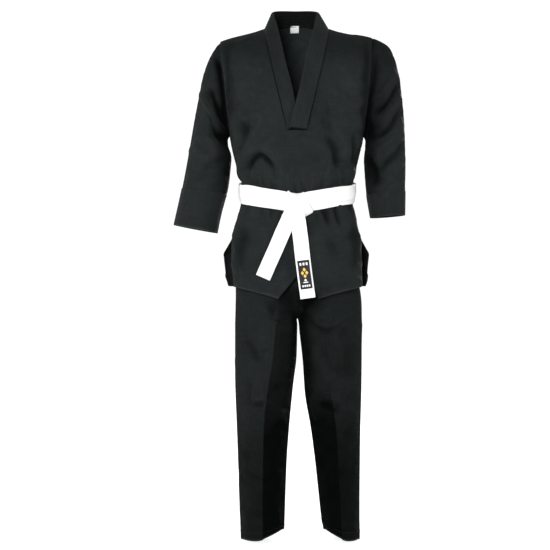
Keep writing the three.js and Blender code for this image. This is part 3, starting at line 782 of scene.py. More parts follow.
# Folds as (line of [x, z] points, height, width, skew, ends); heights below 0 are valleys
CHEST_FOLDS = [
    ([(-152, 985), (-133, 1042), (-97, 1070), (-62, 1046), (-40, 998)], 7.0, 13, 0.25),
    ([(-137, 985), (-122, 1028), (-97, 1050), (-72, 1032), (-54, 1000)], -8.0, 9, 0.0),
    ([(-135, 1172), (-96, 1150), (-120, 1095), (-146, 1040)], 5.0, 14, -0.2),
    ([(-152, 1150), (-132, 1110), (-152, 1050)], -4.0, 11),
    ([(86, 1150), (122, 1092), (128, 1040), (118, 1010)], 6.0, 11, 0.2),
    ([(72, 1110), (100, 1060), (104, 1000)], -4.5, 10),
    ([(150, 1120), (156, 1060), (150, 1005)], -4.0, 9),
    ([(60, 1092), (84, 1040), (88, 985)], 4.0, 9),
    ([(-60, 1250), (-110, 1290), (-160, 1330)], 3.0, 22),
    ([(95, 1330), (130, 1285), (150, 1220)], 3.0, 20),
    ([(-176, 1300), (-172, 1220), (-176, 1140)], -3.0, 9),
    ([(178, 1310), (176, 1220), (178, 1110)], -4.0, 9),
]
BACK_FOLDS = [
    ([(-160, 1180), (-110, 1120), (-60, 1090)], 6.0, 15),
    ([(165, 1190), (120, 1110), (70, 1070)], 6.5, 15),
    ([(-60, 1300), (-10, 1230), (-6, 1120)], 4.0, 20),
    ([(-120, 1060), (-60, 1040), (0, 1052), (70, 1034), (130, 1058)], 7.0, 12),
    ([(-140, 1030), (-70, 1012), (0, 1026), (80, 1008), (140, 1030)], -6.0, 9),
    ([(60, 1320), (110, 1260), (150, 1230)], 4.0, 16),
    ([(-70, 1330), (-120, 1270), (-160, 1250)], 4.0, 16),
]


def gathers(x, z, sign, seed, count, reach, height, up=1):
    """Small pleats that fan out from the belt, up from its upper edge or down from its lower one."""
    rng = np.random.default_rng(seed)
    total = np.zeros(x.shape)
    for k in range(count):
        cx = -150 + 300 * (k + rng.uniform(0.15, 0.85)) / count
        cz = np.interp(cx, GATHER_X, GATHER_Z[sign] + up * GATHER_LIFT)
        rise = rng.uniform(0.45, 1.0) * reach
        lean = rng.normal(0, 0.16) * rise + 0.08 * cx
        total += fold(x, z, [(cx, cz - up * 10), (cx + lean * 0.5, cz + up * rise * 0.5), (cx + lean, cz + up * rise)],
                      rng.choice([-1, 1]) * rng.uniform(0.5, 1.0) * height, rng.uniform(4.0, 7.5),
                      rng.uniform(-0.3, 0.3), (0.12, 0.8))
    return total


GATHER_X = np.linspace(-150, 150, 31)
GATHER_LIFT = 20  # from the belt's middle to its edge
GATHER_Z = {sign: BELT_HEIGHT - sign * belt_line(GATHER_X / 155.0) for sign in (1, -1)}  # front is 1, back -1


def above_belt(points, sign):
    """Height above the belt's middle."""
    return points[..., 2] - (BELT_HEIGHT - sign * belt_line(points[..., 0] / BELT_HALF))


def near_belt(points, sign):
    """1 under the belt and 0 away from it, where cloth must stay flat to fit beneath."""
    return ease((34 - np.abs(above_belt(points, sign))) / 12)


def relief(field, valley=7.0, ridge_highlight=0.05):
    """Painted light on folded cloth: a faint painted highlight on the ridges, and painted shade in the valleys."""
    return ridge_highlight * np.tanh(np.clip(field, 0, None) / 4) - 0.85 * np.tanh(np.clip(-field, 0, None) / valley)


def sculpt(points, field, inside=TRUNK, wrap=False):
    return points + grid_normals(points, wrap, inside) * field[..., None]


def darken_sides(wear_and_shade, amount):
    """The two outermost columns on each side lie in a seam's shade."""
    wear_and_shade[:, :2] = wear_and_shade[:, -2:] = amount
    return wear_and_shade


def side_calm(points):
    """0 at a panel's side edges, so that the two sides of a seam stay together."""
    c = np.arange(points.shape[1])
    return ease(np.minimum(c, c[-1] - c) / 6)[None, :]


ARMHOLE_X = 184
front = halves(front_body)
fx, fz = front[..., 0], front[..., 2]
edge_calm = ease((ARMHOLE_X - np.abs(fx)) / 30) * ease((ridge(fx) - fz - 6) / 60)
field = 1.15 * folds(fx, fz, CHEST_FOLDS) + crumple(fx, fz, 11, 46, 2.6, 13, 90, 0.3)
field += gathers(fx, fz, 1, 5, 26, 95, 5.5)
blouse = 4.0 * bump(above_belt(front, 1), 52, 26)
field = (field + blouse) * (1 - near_belt(front, 1)) * mix(0.35, 1.0, edge_calm) * side_calm(front)
beside_lapel = ease((np.abs(fx) - vee(fz) - 6) / 30)
field *= np.where(fz > LAPEL_END, mix(0.2, 1.0, beside_lapel), 1.0)
front = sculpt(front, field)
# Painted shade along the armholes, at the side seams and over the shoulders, with painted light on the folds.
armhole_shade = 0.45 * bump(np.abs(fx), ARMHOLE_X, 9) * ease((fz - 1090) / 40) * ease((1360 - fz) / 60)
front_light_and_shade = darken_sides(relief(field) - armhole_shade - 0.25 * ease((fz - 1230) / 110), -0.85)

back = back_body()
bx, bz = back[..., 0], back[..., 2]
field = folds(bx, bz, BACK_FOLDS) + crumple(bx, bz, 12, 60, 2.6, 14, 100, 0.0)
field += gathers(bx, bz, -1, 6, 26, 95, 3.8)
field += 6.0 * bump(above_belt(back, -1), 52, 26)
edge_calm = ease((ARMHOLE_X - np.abs(bx)) / 30) * ease((ridge(bx) - bz - 6) / 60)
field *= side_calm(back) * (1 - near_belt(back, -1)) * mix(0.35, 1.0, edge_calm)
back = sculpt(back, field)
# Painted light on the folds and painted shade at the side seams.
back_light_and_shade = darken_sides(relief(field), -0.85)


def hold_edges(points, wrap, rows=(4, 4), columns=4):
    """1 along a grid's edges, falling to 0 a few cells in."""
    r = np.arange(points.shape[0])
    held = np.maximum(1 - r / rows[0], 1 - (r[-1] - r) / rows[1])[:, None] * np.ones((1, points.shape[1]))
    if not wrap:
        c = np.arange(points.shape[1])
        held = np.maximum(held, np.maximum(1 - c / columns, 1 - (c[-1] - c) / columns)[None, :])
    return np.clip(held, 0, 1)


held = np.maximum(hold_edges(front, False, (14, 22), 10), near_belt(front, 1))
held = np.maximum(held, np.where(fz > LAPEL_END - 14, ease((vee(fz) + 52 - np.abs(fx)) / 26), 0))
front = settle("front", front, False, held, 0.035, 7, TRUNK)
held = np.maximum(hold_edges(back, False, (14, 22), 10), near_belt(back, -1))
back = settle("back", back, False, held, 0.045, 9, TRUNK)

cells = np.ones((BODY_ROWS, 2 * COLUMNS + 1), bool)
cells[front[:-1, COLUMNS, 2] > LAPEL_END + 1, COLUMNS] = False
piece = shell("jacket_front", front, cells=cells, inside=TRUNK, wear_and_shade=front_light_and_shade)
finish(piece, "jacket_cloth", "jacket", ("front_right_panel", "front_left_panel"))
piece = shell("jacket_back", back, inside=TRUNK, wear_and_shade=back_light_and_shade)
finish(piece, "jacket_cloth", "jacket", ("back_panel",))
# Painted light on the back panel's inner face.
paint_light_inside(piece, 0.45)

# ---- Jacket skirts ------------------------------------------------------------------------

SKIRT_FOLDS = [
    ([(109, 922), (120, 880), (136, 832)], 6.5, 7, 0.3, (0.15, 0.6)),
    ([(98, 920), (108, 880), (120, 842)], -5.0, 6, 0.0, (0.15, 0.6)),
    ([(62, 905), (78, 880), (84, 850)], -5.0, 9, 0.0, (0.2, 0.6)),
    ([(48, 908), (60, 888), (72, 872)], 5.0, 7, 0.0, (0.2, 0.6)),
    ([(40, 880), (52, 810), (60, 740)], 4.0, 20),
    ([(-60, 900), (-80, 830), (-92, 760)], 3.0, 20),
    ([(-140, 880), (-150, 800), (-150, 730)], -3.0, 15),
    ([(150, 880), (158, 800), (150, 730)], -3.0, 14),
]
skirt = halves(skirt_front)
sx, sz = skirt[..., 0], skirt[..., 2]
field = 1.4 * folds(sx, sz, SKIRT_FOLDS) + crumple(sx, sz, 21, 26, 2.4, 15, 90)
field += gathers(sx, sz, 1, 7, 22, 70, 3.0, -1)
field *= 1 - near_belt(skirt, 1)
skirt = sculpt(skirt, field)
# Painted light on the folds and painted shade at the side seams.
skirt_light_and_shade = darken_sides(relief(field), -0.6)
held = np.maximum(hold_edges(skirt, False, (6, 10), 6), near_belt(skirt, 1))
skirt = settle("front_skirt", skirt, False, held, 0.03, 6, TRUNK)

tail = skirt_back()
tx, tz = tail[..., 0], tail[..., 2]
field = crumple(tx, tz, 22, 26, 2.5, 17, 110) + gathers(tx, tz, -1, 8, 24, 110, 4.0, -1)
flare = 5.0 * np.sin(tx / 24.0) * ease((BELT_HEIGHT - tz) / 200)
field = (field + flare) * (1 - near_belt(tail, -1)) * ease((150 - np.abs(tx)) / 60 + 0.4)
tail = sculpt(tail, field)
# Painted light on the folds.
tail_light_and_shade = relief(field)
held = np.maximum(hold_edges(tail, False, (6, 10), 6), near_belt(tail, -1))
tail = settle("back_skirt", tail, False, held, 0.035, 7, TRUNK)

HEM_ROWS = 11
SEWN_OFF, HEM_OFF = 1.0, 1.9  # how far stitches lie from the middle of single and of folded cloth
hem_thick = np.where(np.arange(SKIRT_ROWS + 1) < HEM_ROWS, HEM_CLOTH, CLOTH)
hem_thick[0] = 1.2
hem_wear = 0.5 * np.clip(1 - np.arange(SKIRT_ROWS + 1) / 2, 0, 1)


def skirt_weight(p):
    return ease((VENT_TOP + 22 - p[:, 2]) / 110)


cells = np.ones((SKIRT_ROWS, 2 * COLUMNS + 1), bool)
cells[skirt[:-1, COLUMNS, 2] < NOTCH_TOP, COLUMNS] = False
for label, sheet, gap, wear_and_shade, nodes, parts in (
        ("front", skirt, cells, skirt_light_and_shade, ("front_right_skirt", "front_left_skirt"),
         (slice(0, COLUMNS + 1), slice(COLUMNS + 1, None))),
        ("back", tail, None, tail_light_and_shade, ("back_skirt",), (slice(None),))):
    piece = shell(f"{label}_skirt_cloth", sheet, hem_thick[:, None], False, gap, TRUNK, hem_wear[:, None] + wear_and_shade)
    finish(piece, "jacket_cloth", ("jacket", f"{label}_skirt", skirt_weight), nodes)
    if label == "back":
        # Painted light on the back skirt's inner face.
        paint_light_inside(piece, 0.16)
    normal = grid_normals(sheet, False, TRUNK)
    lines = [grid_line(sheet, normal, row=HEM_ROWS - 0.6, off=HEM_OFF, part=part) for part in parts]
    stitches(f"{label}_hem_stitches", lines, f"{label}_skirt", "jacket_cloth")

# ---- Lapels and collar --------------------------------------------------------------------

FRONT_SHARE = 0.7
LAPEL_THICK = 4.0
FREE_EDGE = {
    -1: [[-1, -119, 1119], [-7, -118, 1207], [-30, -98, 1304], [-48, -66, 1388]],
    1: [[-22, -127, 1119], [10, -124, 1247], [26, -101, 1320], [44, -66, 1392]],
}
LAPEL_COLUMNS, LAPEL_ROWS = 36, 190


def lapel(side):
    stand = NECK_POINT + COLLAR_HEIGHT
    wide = 6 if side < 0 else 0
    collar = [[side * (55 + wide), -18, stand - 6], [side * (60 + wide), 10, stand + 7],
              [side * (42 + wide), 42, stand + 17], [-side * 0.8, 55, stand + 19]]
    v = steps(LAPEL_ROWS)
    free = catmull(FREE_EDGE[side] + collar, v)
    free[:, 0] = np.where(v > FRONT_SHARE, side * np.maximum(side * free[:, 0], -0.8), free[:, 0])
    s = np.clip(v / FRONT_SHARE, 0, 1)
    z = mix(LAPEL_END + 0.5, NECK_POINT, s)
    x = side * (np.interp(z, *np.array(LAPEL_SEAM, float).T) - 1.0)
    lift = (LAPEL_THICK + 2.0) * (1 - s) if side > 0 else 0.0
    on_chest = xyz(x, -jacket_depth(x, z, JACKET_FRONT) - lift - 1.2, z + 3 * s)
    s = np.clip((v - FRONT_SHARE) / (1 - FRONT_SHARE), 0, 1)
    x = side * mix(NECK_HALF - 1.0, -0.8, s)
    z = NECK_POINT + NECK_RISE * (1 - (x / NECK_HALF) ** 2)
    behind = xyz(x, jacket_depth(x, z, JACKET_BACK) + 2.6, z - 5)
    sewn = np.where((v <= FRONT_SHARE)[:, None], on_chest, behind)
    for _ in range(6):
        sewn[1:-1] = 0.5 * sewn[1:-1] + 0.25 * (sewn[:-2] + sewn[2:])
    sewn += np.array([side * 4.0, 0, -5.0]) * bump(v, FRONT_SHARE, 0.08)[:, None]
    return mix(sewn[:, None], free[:, None], steps(LAPEL_COLUMNS)[None, :, None])


def quilted(count, margin, depth, thick, columns):
    """Thickness across a band that rows of stitching draw in, thinner at its edges, and the rows' shares."""
    u = steps(columns)
    lines = margin + (1 - 2 * margin) * np.arange(count) / (count - 1)
    t = np.full(u.shape, thick)
    for line in lines:
        t -= depth * np.exp(-(((u - line) * columns) / 1.1) ** 2)
    t[0] = t[-1] = thick * 0.45
    return t, lines


thick, quilt_lines = quilted(6, 0.06, 0.9, LAPEL_THICK, LAPEL_COLUMNS)
# Across the band: a worn free edge, and painted shade along the sewn edge. Along it: painted shade on the collar behind
# the neck, a dark painted shade line at the lapel's lower end, and a faint painted highlight just above that line.
lapel_wear_and_shade = np.zeros(LAPEL_COLUMNS + 1)
lapel_wear_and_shade[-2:] = 0.1
lapel_wear_and_shade[:1] = -0.6
lapel_shade = -0.6 * ease((steps(LAPEL_ROWS) - 0.72) / 0.1)
lapel_shade[:2] = -0.9
lapel_shade[3:6] = 0.06
ripple = 0.5 * np.sin(60 * steps(LAPEL_ROWS))[:, None] * np.sin(3 * steps(LAPEL_COLUMNS))[None, :]
for label, side in SIDE_OF.items():
    band = sculpt(lapel(side), ripple, (0, 0, 1200))
    normal = grid_normals(band, False, (0, 0, 1250))
    piece = shell(f"{label}_lapel", band, thick, inside=(0, 0, 1250), wear_and_shade=lapel_wear_and_shade[None, :] + lapel_shade[:, None])
    finish(piece, "stitched_band", "jacket", (f"{label}_lapel_band",))
    lines = [grid_line(band, face, column=q * LAPEL_COLUMNS, off=LAPEL_THICK / 2 - 0.45)
             for q in quilt_lines for face in (normal, -normal)]
    lines += [grid_line(band, normal, row=r, off=LAPEL_THICK / 2 - 0.2) for r in ((3.0, 5.5) if side > 0 else (3.0,))]
    stitches(f"{label}_lapel_stitches", lines, "jacket")

# Neck label
u, v = np.meshgrid(steps(12), steps(10))
x, z = mix(-16.0, 8.0, u), mix(1409.0, 1426.0, v)
y = jacket_depth(0 * x, z, JACKET_BACK) - 3.5 - 2.0 * np.sin(np.pi * v) + 0.4 * np.sin(5 * u)
label = xyz(x, y, z)
BEHIND_LABEL = (0, 200, 1400)
finish(shell("neck_label_tape", label, 0.8, inside=BEHIND_LABEL), "neck_label_tape", "jacket", ("neck_label",))
sewn = grid_line(label, grid_normals(label, False, BEHIND_LABEL), row=9.2, off=0.5)
stitches("neck_label_stitches", [sewn], "jacket", "neck_label_tape", WHITE_THREAD, (0.25, 1.6, 0.8))

# Seams of the jacket body
front_normal, back_normal = grid_normals(front, False, TRUNK), grid_normals(back, False, TRUNK)
shoulder_row = BODY_ROWS - 2.2
lines = [grid_line(back, back_normal, row=shoulder_row, off=SEWN_OFF)]
lines += [grid_line(back, back_normal, column=column, off=SEWN_OFF) for column in (1.6, 2 * COLUMNS - 1.4)]
lines += [grid_line(front, front_normal, column=column, off=SEWN_OFF) for column in (1.4, 2 * COLUMNS - 0.4)]
lines += [grid_line(front, front_normal, row=shoulder_row, off=SEWN_OFF, part=part)
          for part in (slice(0, COLUMNS - 2), slice(COLUMNS + 3, None))]
stitches("jacket_seam_stitches", lines, "jacket", "jacket_cloth")

# ---- Sleeves ------------------------------------------------------------------------------

SLEEVE_COLUMNS, SLEEVE_ROWS = 100, 132
ELBOW_RING = 60  # the row at which a sleeve is cut into its two pieces
SLEEVE_FOLDS = {
    "right": [
        ([(-212, 1330), (-196, 1250), (-186, 1180), (-184, 1120)], -14.0, 10, 0.0, (0.2, 0.2)),
        ([(-262, 1240), (-232, 1170), (-200, 1105)], 8.0, 11, 0.3),
        ([(-240, 1250), (-214, 1190), (-194, 1130)], -8.0, 9, 0.0),
        ([(-244, 1200), (-222, 1130), (-198, 1070)], -6.0, 10, 0.2),
        ([(-236, 1130), (-224, 1060), (-232, 990)], 4.0, 16),
        ([(-286, 1100), (-262, 1060), (-216, 1048)], 3.5, 12),
        ([(-200, 1060), (-226, 1030), (-262, 1020)], -4.0, 10),
        ([(-230, 1320), (-252, 1240), (-268, 1160)], 3.0, 16),
    ],
    "left": [
        ([(205, 1330), (196, 1250), (190, 1180), (190, 1110)], -14.0, 10, 0.0, (0.2, 0.2)),
        ([(262, 1300), (234, 1250), (206, 1205)], 9.0, 9, 0.3),
        ([(272, 1262), (240, 1205), (204, 1160)], -8.0, 8),
        ([(282, 1226), (246, 1176), (208, 1130)], 9.0, 9, 0.3),
        ([(286, 1190), (250, 1136), (210, 1096)], -8.0, 9),
        ([(280, 1160), (262, 1110), (228, 1070), (212, 1020)], 8.0, 10, 0.3),
        ([(290, 1120), (280, 1070), (244, 1036), (226, 1000)], -7.0, 10),
        ([(292, 1080), (286, 1040), (262, 1010), (240, 960)], 4.5, 12),
        ([(200, 1060), (216, 1010), (214, 960)], -6.0, 10),
    ],
}
CUFF_ROW = int(CUFF_START * SLEEVE_ROWS)
INNER_SHADE = 0.34  # how far over the sleeve the painted shade on its inner side reaches


ARMHOLE_CENTRE, ARMHOLE_RADIUS = 1241.5, 124.0
around = 2 * np.pi * np.arange(SLEEVE_COLUMNS) / SLEEVE_COLUMNS
across_arm = (0.5 + 0.5 * np.cos(around))[None, :]  # 0 at the inner side of a sleeve, 1 at its outer side
sleeve_share = steps(SLEEVE_ROWS)


def sleeve(label):
    side = SIDE_OF[label]
    outer, inner = (catmull(points, sleeve_share)[:, None] for points in SLEEVES[label])
    flat = inner + (outer - inner) * across_arm[..., None]
    y = np.interp(sleeve_share, *np.array(SLEEVE_DEPTH, float).T)[:, None] * np.sin(around)[None, :]
    points = xyz(flat[..., 0], y, flat[..., 1])
    z = ARMHOLE_CENTRE + ARMHOLE_RADIUS * np.cos(around)
    depth = SEAM + armhole_depth(z) * round_over((ridge(side * at(JACKET_SIDE, z)) - z) / SHOULDER_ROUND)
    armhole = xyz(side * at(JACKET_SIDE, z) - side * 1.5, np.sign(np.sin(around) + 1e-9) * depth, z)
    fade = (1 - ease(sleeve_share / 0.22))[:, None, None]
    return points + (armhole - points[0])[None] * fade


def row_weights(rows, start, end):
    """Weights of a shell made from these rows of a sleeve, whose vertices are in grid order."""
    value = ease((sleeve_share[rows] - start) / (end - start))
    return np.tile(np.repeat(value, SLEEVE_COLUMNS), 2)


for label, side in SIDE_OF.items():
    tube = sleeve(label)
    x, y, z = np.moveaxis(tube, -1, 0)
    row_at, row = np.arange(SLEEVE_ROWS + 1)[:, None], sleeve_share[:, None]
    facing = ease(-y / 40 + 0.35)
    calm = ease(row_at / 8) * ease((CUFF_ROW + 2 - row_at) / 10)
    field = folds(x, z, SLEEVE_FOLDS[label]) * facing
    mirrored = [([(px - side * 6, pz - 14) for px, pz in line], 0.7 * height, *rest)
                for line, height, *rest in SLEEVE_FOLDS[label]]
    field += folds(x, z, mirrored) * (1 - facing)
    field += crumple(x, z, 31 + side, 40, 2.4, 12, 80, 0.5 * side) * calm
    outline = ease((np.abs(y) - 6) / 30)
    field = (1.2 if side < 0 else 0.95) * field * calm * outline
    # Painted light on the folds; painted shade on the inner side, near the armhole, on the upper sleeve and over the
    # shoulder, and darkest on the first two rows at the seam.
    wear_and_shade = relief(field, 10.0) - 0.75 * bump(across_arm, 0, INNER_SHADE) * ease((CUFF_START + 0.15 - row) / 0.3)
    wear_and_shade = wear_and_shade - 0.12 * bump(row, 0, 0.03) - 0.16 * ease((0.6 - row) / 0.4)
    wear_and_shade = wear_and_shade - 0.15 * ease((z - 1230) / 110)
    wear_and_shade[:2] = -0.85
    wear_and_shade = np.clip(wear_and_shade, -0.9, 1)
    tube = tube + grid_normals(tube, True) * field[..., None]
    held = np.maximum(hold_edges(tube, True, (5, 5)), 0.75 * (1 - outline))
    held = np.maximum(held, (row_at >= CUFF_ROW) * 0.9)
    tube = settle(f"{label}_sleeve", tube, True, held, 0.055 if side > 0 else 0.035, 10)
    shoulder, arm = f"{label}_sleeve", f"{label}_forearm"
    normal = grid_normals(tube, True)
    for part, bodies, rows, bent, nodes in (
            ("upper", ("jacket", shoulder), slice(0, ELBOW_RING + 1), (0.03, 0.42), ("head", "upper")),
            ("lower", (shoulder, arm), slice(ELBOW_RING, CUFF_ROW + 3), (0.48, 0.76), ("elbow", "lower"))):
        weights = row_weights(rows, *bent)
        piece = shell(f"{label}_sleeve_{part}_cloth", tube[rows], wrap=True, wear_and_shade=wear_and_shade[rows], normal=normal[rows])
        finish(piece, "jacket_cloth", (*bodies, lambda p: weights), [f"{label}_sleeve_{node}" for node in nodes])

    # Cuff: a folded band, held by parallel rows of stitching
    rows = np.linspace(CUFF_ROW, SLEEVE_ROWS, (SLEEVE_ROWS - CUFF_ROW) * 3 + 1)
    k = np.minimum(rows.astype(int), SLEEVE_ROWS - 1)
    cuff = mix(tube[k], tube[k + 1], (rows - k)[:, None, None])
    cuff_normal = grid_normals(cuff, True)
    count = len(rows) - 1
    cuff_thick, cuff_lines = quilted(7, 0.09, 0.8, 3.8, count)
    wear_and_shade = np.where(np.arange(count + 1) > count - 3, 0.6, 0.0)[:, None]
    piece = shell(f"{label}_cuff_band", cuff + cuff_normal * 0.6, cuff_thick[:, None], wrap=True, wear_and_shade=wear_and_shade)
    finish(piece, "stitched_band", arm, (f"{label}_cuff",))
    stitches(f"{label}_cuff_stitches", [grid_line(cuff, cuff_normal, row=q * count, off=2.05, wrap=True)
                                        for q in cuff_lines], arm)
    stitches(f"{label}_armhole_stitches", [grid_line(tube, normal, row=1.4, off=1.1, wrap=True)], "jacket",
             "jacket_cloth")

# ---- Belt ---------------------------------------------------------------------------------

BELT_WIDTH, WEBBING, BELT_CLEARANCE, WRAP_SHIFT = 40.0, 3.5, 3.5, 6.0
BELT_COLUMNS, BELT_ROWS = 260, 40


def around_jacket(turn, z, out):
    sine, cosine = power(np.sin(turn), 2 / FULLNESS), power(np.cos(turn), 2 / FULLNESS)
    depth = np.where(cosine > 0, at(JACKET_FRONT, z), at(JACKET_BACK, z))
    return xyz((at(JACKET_SIDE, z) + out) * sine, -(depth + out) * cosine, z)


def even_turns(count):
    turn = np.linspace(0, 2 * np.pi, 2001)
    run = run_along(around_jacket(turn, BELT_HEIGHT + 0 * turn, 6.0))
    return np.interp(np.arange(count) / count * run[-1], run, turn)


belt_thick, belt_lines = quilted(8, 0.07, 0.55, WEBBING, BELT_ROWS)
turn, v = even_turns(BELT_COLUMNS), np.linspace(-0.5, 0.5, BELT_ROWS + 1)[:, None]
for name, layer, shift, seed in (("inner", 0, -WRAP_SHIFT, 3), ("outer", 1, WRAP_SHIFT, 4)):
    out = 1.0 + BELT_CLEARANCE + WEBBING / 2 + layer * (WEBBING + 0.5)
    ring = around_jacket(turn, BELT_HEIGHT - BELT_DIP * np.cos(turn), out)
    rng = np.random.default_rng(seed)
    wave = sum(rng.uniform(0.3, 1.0) * np.sin(k * turn + rng.uniform(0, 6.28)) for k in (3, 5, 8))
    belt = np.repeat(ring[None], BELT_ROWS + 1, axis=0)
    belt[..., 2] += shift + v * BELT_WIDTH + 0.8 * wave[None, :]
    lean = 1.0 * np.sin(2 * turn + seed) + 0.6 * np.sin(5 * turn)
    normal = grid_normals(belt, True)
    belt = belt + normal * (lean[None, :] * v - 1.2 * (2 * v) ** 2)[..., None]
    piece = shell(f"belt_{name}_turn", belt, belt_thick[:, None], wrap=True)
    finish(piece, "belt_webbing", "jacket", (f"belt_{name}_wrap",))
    lines = [grid_line(belt, normal, row=q * BELT_ROWS, off=WEBBING / 2 - 0.25, wrap=True) for q in belt_lines]
    stitches(f"belt_{name}_stitches", lines, "jacket", "belt_webbing", WHITE_THREAD, PALE_STITCH)

STRAP_ROWS, STRAP_COLUMNS = 60, 28
KNOT_BACK = (0, 60, 920)  # a point behind the knot


def strap(path, crown, pinch=0.0):
    """A ribbon along a smooth path, facing forwards, crowned across and pinched in its middle."""
    line = catmull(path, steps(STRAP_ROWS))
    ahead = unit(np.gradient(line, axis=0))
    sideways = unit(np.cross(ahead, (0.0, -1.0, 0.0)))
    up = np.cross(sideways, ahead)
    u = np.linspace(-0.5, 0.5, STRAP_COLUMNS + 1)
    wide = BELT_WIDTH * (1 - pinch * np.sin(np.pi * steps(STRAP_ROWS)))
    grid = line[:, None] + sideways[:, None] * (u[None, :, None] * wide[:, None, None])
    return grid + up[:, None] * (crown * (1 - (2 * u) ** 2))[None, :, None]


def tail_weight(p):
    return ease((890 - p[:, 2]) / 30)


strap_thick, strap_lines = quilted(8, 0.07, 0.5, WEBBING, STRAP_COLUMNS)
strap_thick = np.tile(strap_thick, (STRAP_ROWS + 1, 1))
strap_thick[[0, -1]] *= 0.5
for name, node, body, crown, pinch, path in (
        ("belt_knot_over", "belt_knot_outer_strand", "jacket", 2.5, 0.12,
         [(-33, -113, 944), (-28, -121, 941), (-10, -128, 933), (8, -129.5, 920), (20, -125, 905), (25, -114, 893)]),
        ("belt_knot_under", "belt_knot_inner_strand", "jacket", 2.0, 0.12,
         [(27, -112, 942), (18, -119, 936), (2, -123, 923), (-12, -124.5, 905), (-19, -127, 889), (-24, -128, 880)]),
        ("belt_right_tail", "belt_right_end", ("jacket", "belt_right_end", tail_weight), 0.8, 0.0,
         [(-14, -123, 902), (-21, -128, 883), (-38, -131, 845), (-56, -131.5, 803), (-74, -130, 763),
          (-91, -131, 724)]),
        ("belt_left_tail", "belt_left_end", ("jacket", "belt_left_end", tail_weight), 0.8, 0.0,
         [(-2, -126, 905), (2, -132, 883), (9, -136, 830), (15, -136.5, 775), (22, -135.5, 720), (29, -136, 669)])):
    grid = strap(path, crown, pinch)
    normal = grid_normals(grid, False, KNOT_BACK)
    finish(shell(name, grid, strap_thick, inside=KNOT_BACK), "belt_webbing", body, (node,))
    lines = [grid_line(grid, normal, column=q * STRAP_COLUMNS, off=WEBBING / 2 - 0.2) for q in strap_lines]
    stitches(name + "_stitches", lines, body, "belt_webbing", WHITE_THREAD, PALE_STITCH)

# Woven label near the tip of the left tail
LABEL_INSET = 3
patch = grid[int(0.62 * STRAP_ROWS):int(0.90 * STRAP_ROWS) + 1, LABEL_INSET:STRAP_COLUMNS + 1 - LABEL_INSET]
patch_normal = grid_normals(patch, False, KNOT_BACK)
patch = patch + patch_normal * 2.5
finish(shell("belt_label_patch", patch, 1.0, inside=KNOT_BACK), "belt_label_cloth", "belt_left_end", ("belt_label",))


def patch_point(u, v, off):
    """A point on the label's face, u across from 0 to 1 and v down."""
    r, c = v * (patch.shape[0] - 1), u * (patch.shape[1] - 1)
    k, m = min(int(r), patch.shape[0] - 2), min(int(c), patch.shape[1] - 2)
    top = mix(patch[k, m], patch[k, m + 1], c - m)
    low = mix(patch[k + 1, m], patch[k + 1, m + 1], c - m)
    return mix(top, low, r - k) + patch_normal[k, m] * off


def sewn_shape(outlines):
    """Raised satin-stitch shapes on the label: each outline is four (u, v) corners."""
    verts, quads = [], []
    for corners in outlines:
        k = len(verts)
        verts += [patch_point(u, v, off) for off in (0.35, 0.95) for u, v in corners]
        quads += [[k + 4, k + 5, k + 6, k + 7], [k + 3, k + 2, k + 1, k]]
        quads += [[k + s, k + (s + 1) % 4, k + 4 + (s + 1) % 4, k + 4 + s] for s in range(4)]
    return np.array(verts), np.array(quads)


def diamond(u, v, w, h):
    return [(u - w, v), (u, v - h), (u + w, v), (u, v + h)]


def bar(u, v, w, h):
    return [(u - w, v - h), (u + w, v - h), (u + w, v + h), (u - w, v + h)]


gold = [diamond(u, v, 0.13, 0.075) for u, v in ((0.5, 0.32), (0.32, 0.43), (0.68, 0.43), (0.5, 0.54))]
white = [bar(u, 0.13, 0.075, 0.045) for u in (0.24, 0.5, 0.76)]
white += [diamond(0.5, 0.68, 0.12, 0.05), bar(0.5, 0.76, 0.2, 0.016)]
white += [bar(u, 0.89, 0.06, 0.035) for u in (0.23, 0.41, 0.59, 0.77)]
for name, shapes, material in (("belt_label_gold", gold, GOLD_THREAD), ("belt_label_white", white, WHITE_THREAD)):
    finish(link(name, quad_mesh(name, *sewn_shape(shapes))), "belt_label_cloth", "belt_left_end", (), material)

# ---- Trousers -----------------------------------------------------------------------------

HIP_COLUMNS, HIP_ROWS = 240, 76
LEG_COLUMNS, LEG_ROWS, FORK_ROWS = 104, 190, 38
CREASE = 1.42
CREASE_LINE = {"right": [[560, 62], [600, 60], [710, 46]], "left": [[560, 80], [600, 76], [710, 50]]}
CREASE_SHIFT = [[0, 0], [350, 2], [400, 9], [592, 24], [700, 32]]
CREASE_SLANT = {"right": 1.0, "left": 0.6}


def hip_gathers(turn, z):
    """Narrow pleats that hang from the waistband."""
    rng = np.random.default_rng(41)
    total, count = 0 * turn * z, 64
    for k in range(count):
        centre = 2 * np.pi * (k + rng.uniform(0.2, 0.8)) / count
        away = np.angle(np.exp(1j * (turn - centre)))
        reach = rng.uniform(40, 110)
        total = total + rng.uniform(1.0, 2.6) * np.exp(-((away * 130 / rng.uniform(3.0, 5.0)) ** 2)) * np.exp(
            -((HIP_TOP - z) / reach) ** 2)
    return total


def oval(half_x, half_y, turn, z):
    """A ring of points; turn 0 is the front centre and grows towards +X."""
    return xyz(half_x * np.sin(turn), -half_y * np.cos(turn), z)


def turns(count):
    return (2 * np.pi * np.arange(count) / count)[None, :]


turn = turns(HIP_COLUMNS)
z = np.linspace(HIP_BOTTOM, HIP_TOP + 2, HIP_ROWS + 1)[:, None]
hips = oval(at(HIP_SIDE, z), at(HIP_DEPTH, z), turn, z)
hips = hips + grid_normals(hips, True) * (hip_gathers(turn, z) - 1.0)[..., None]
finish(shell("trouser_hips", hips, wrap=True), "trouser_cloth", "trousers",
       [f"trouser_{face}_{label}" for face in ("front", "back") for label in SIDE_OF])
normal = grid_normals(hips, True)
stitches("hip_seam_stitches", [grid_line(hips, normal, column=quarter * HIP_COLUMNS // 4 + 1, off=SEWN_OFF)
                               for quarter in range(4)], "trousers", "trouser_cloth")

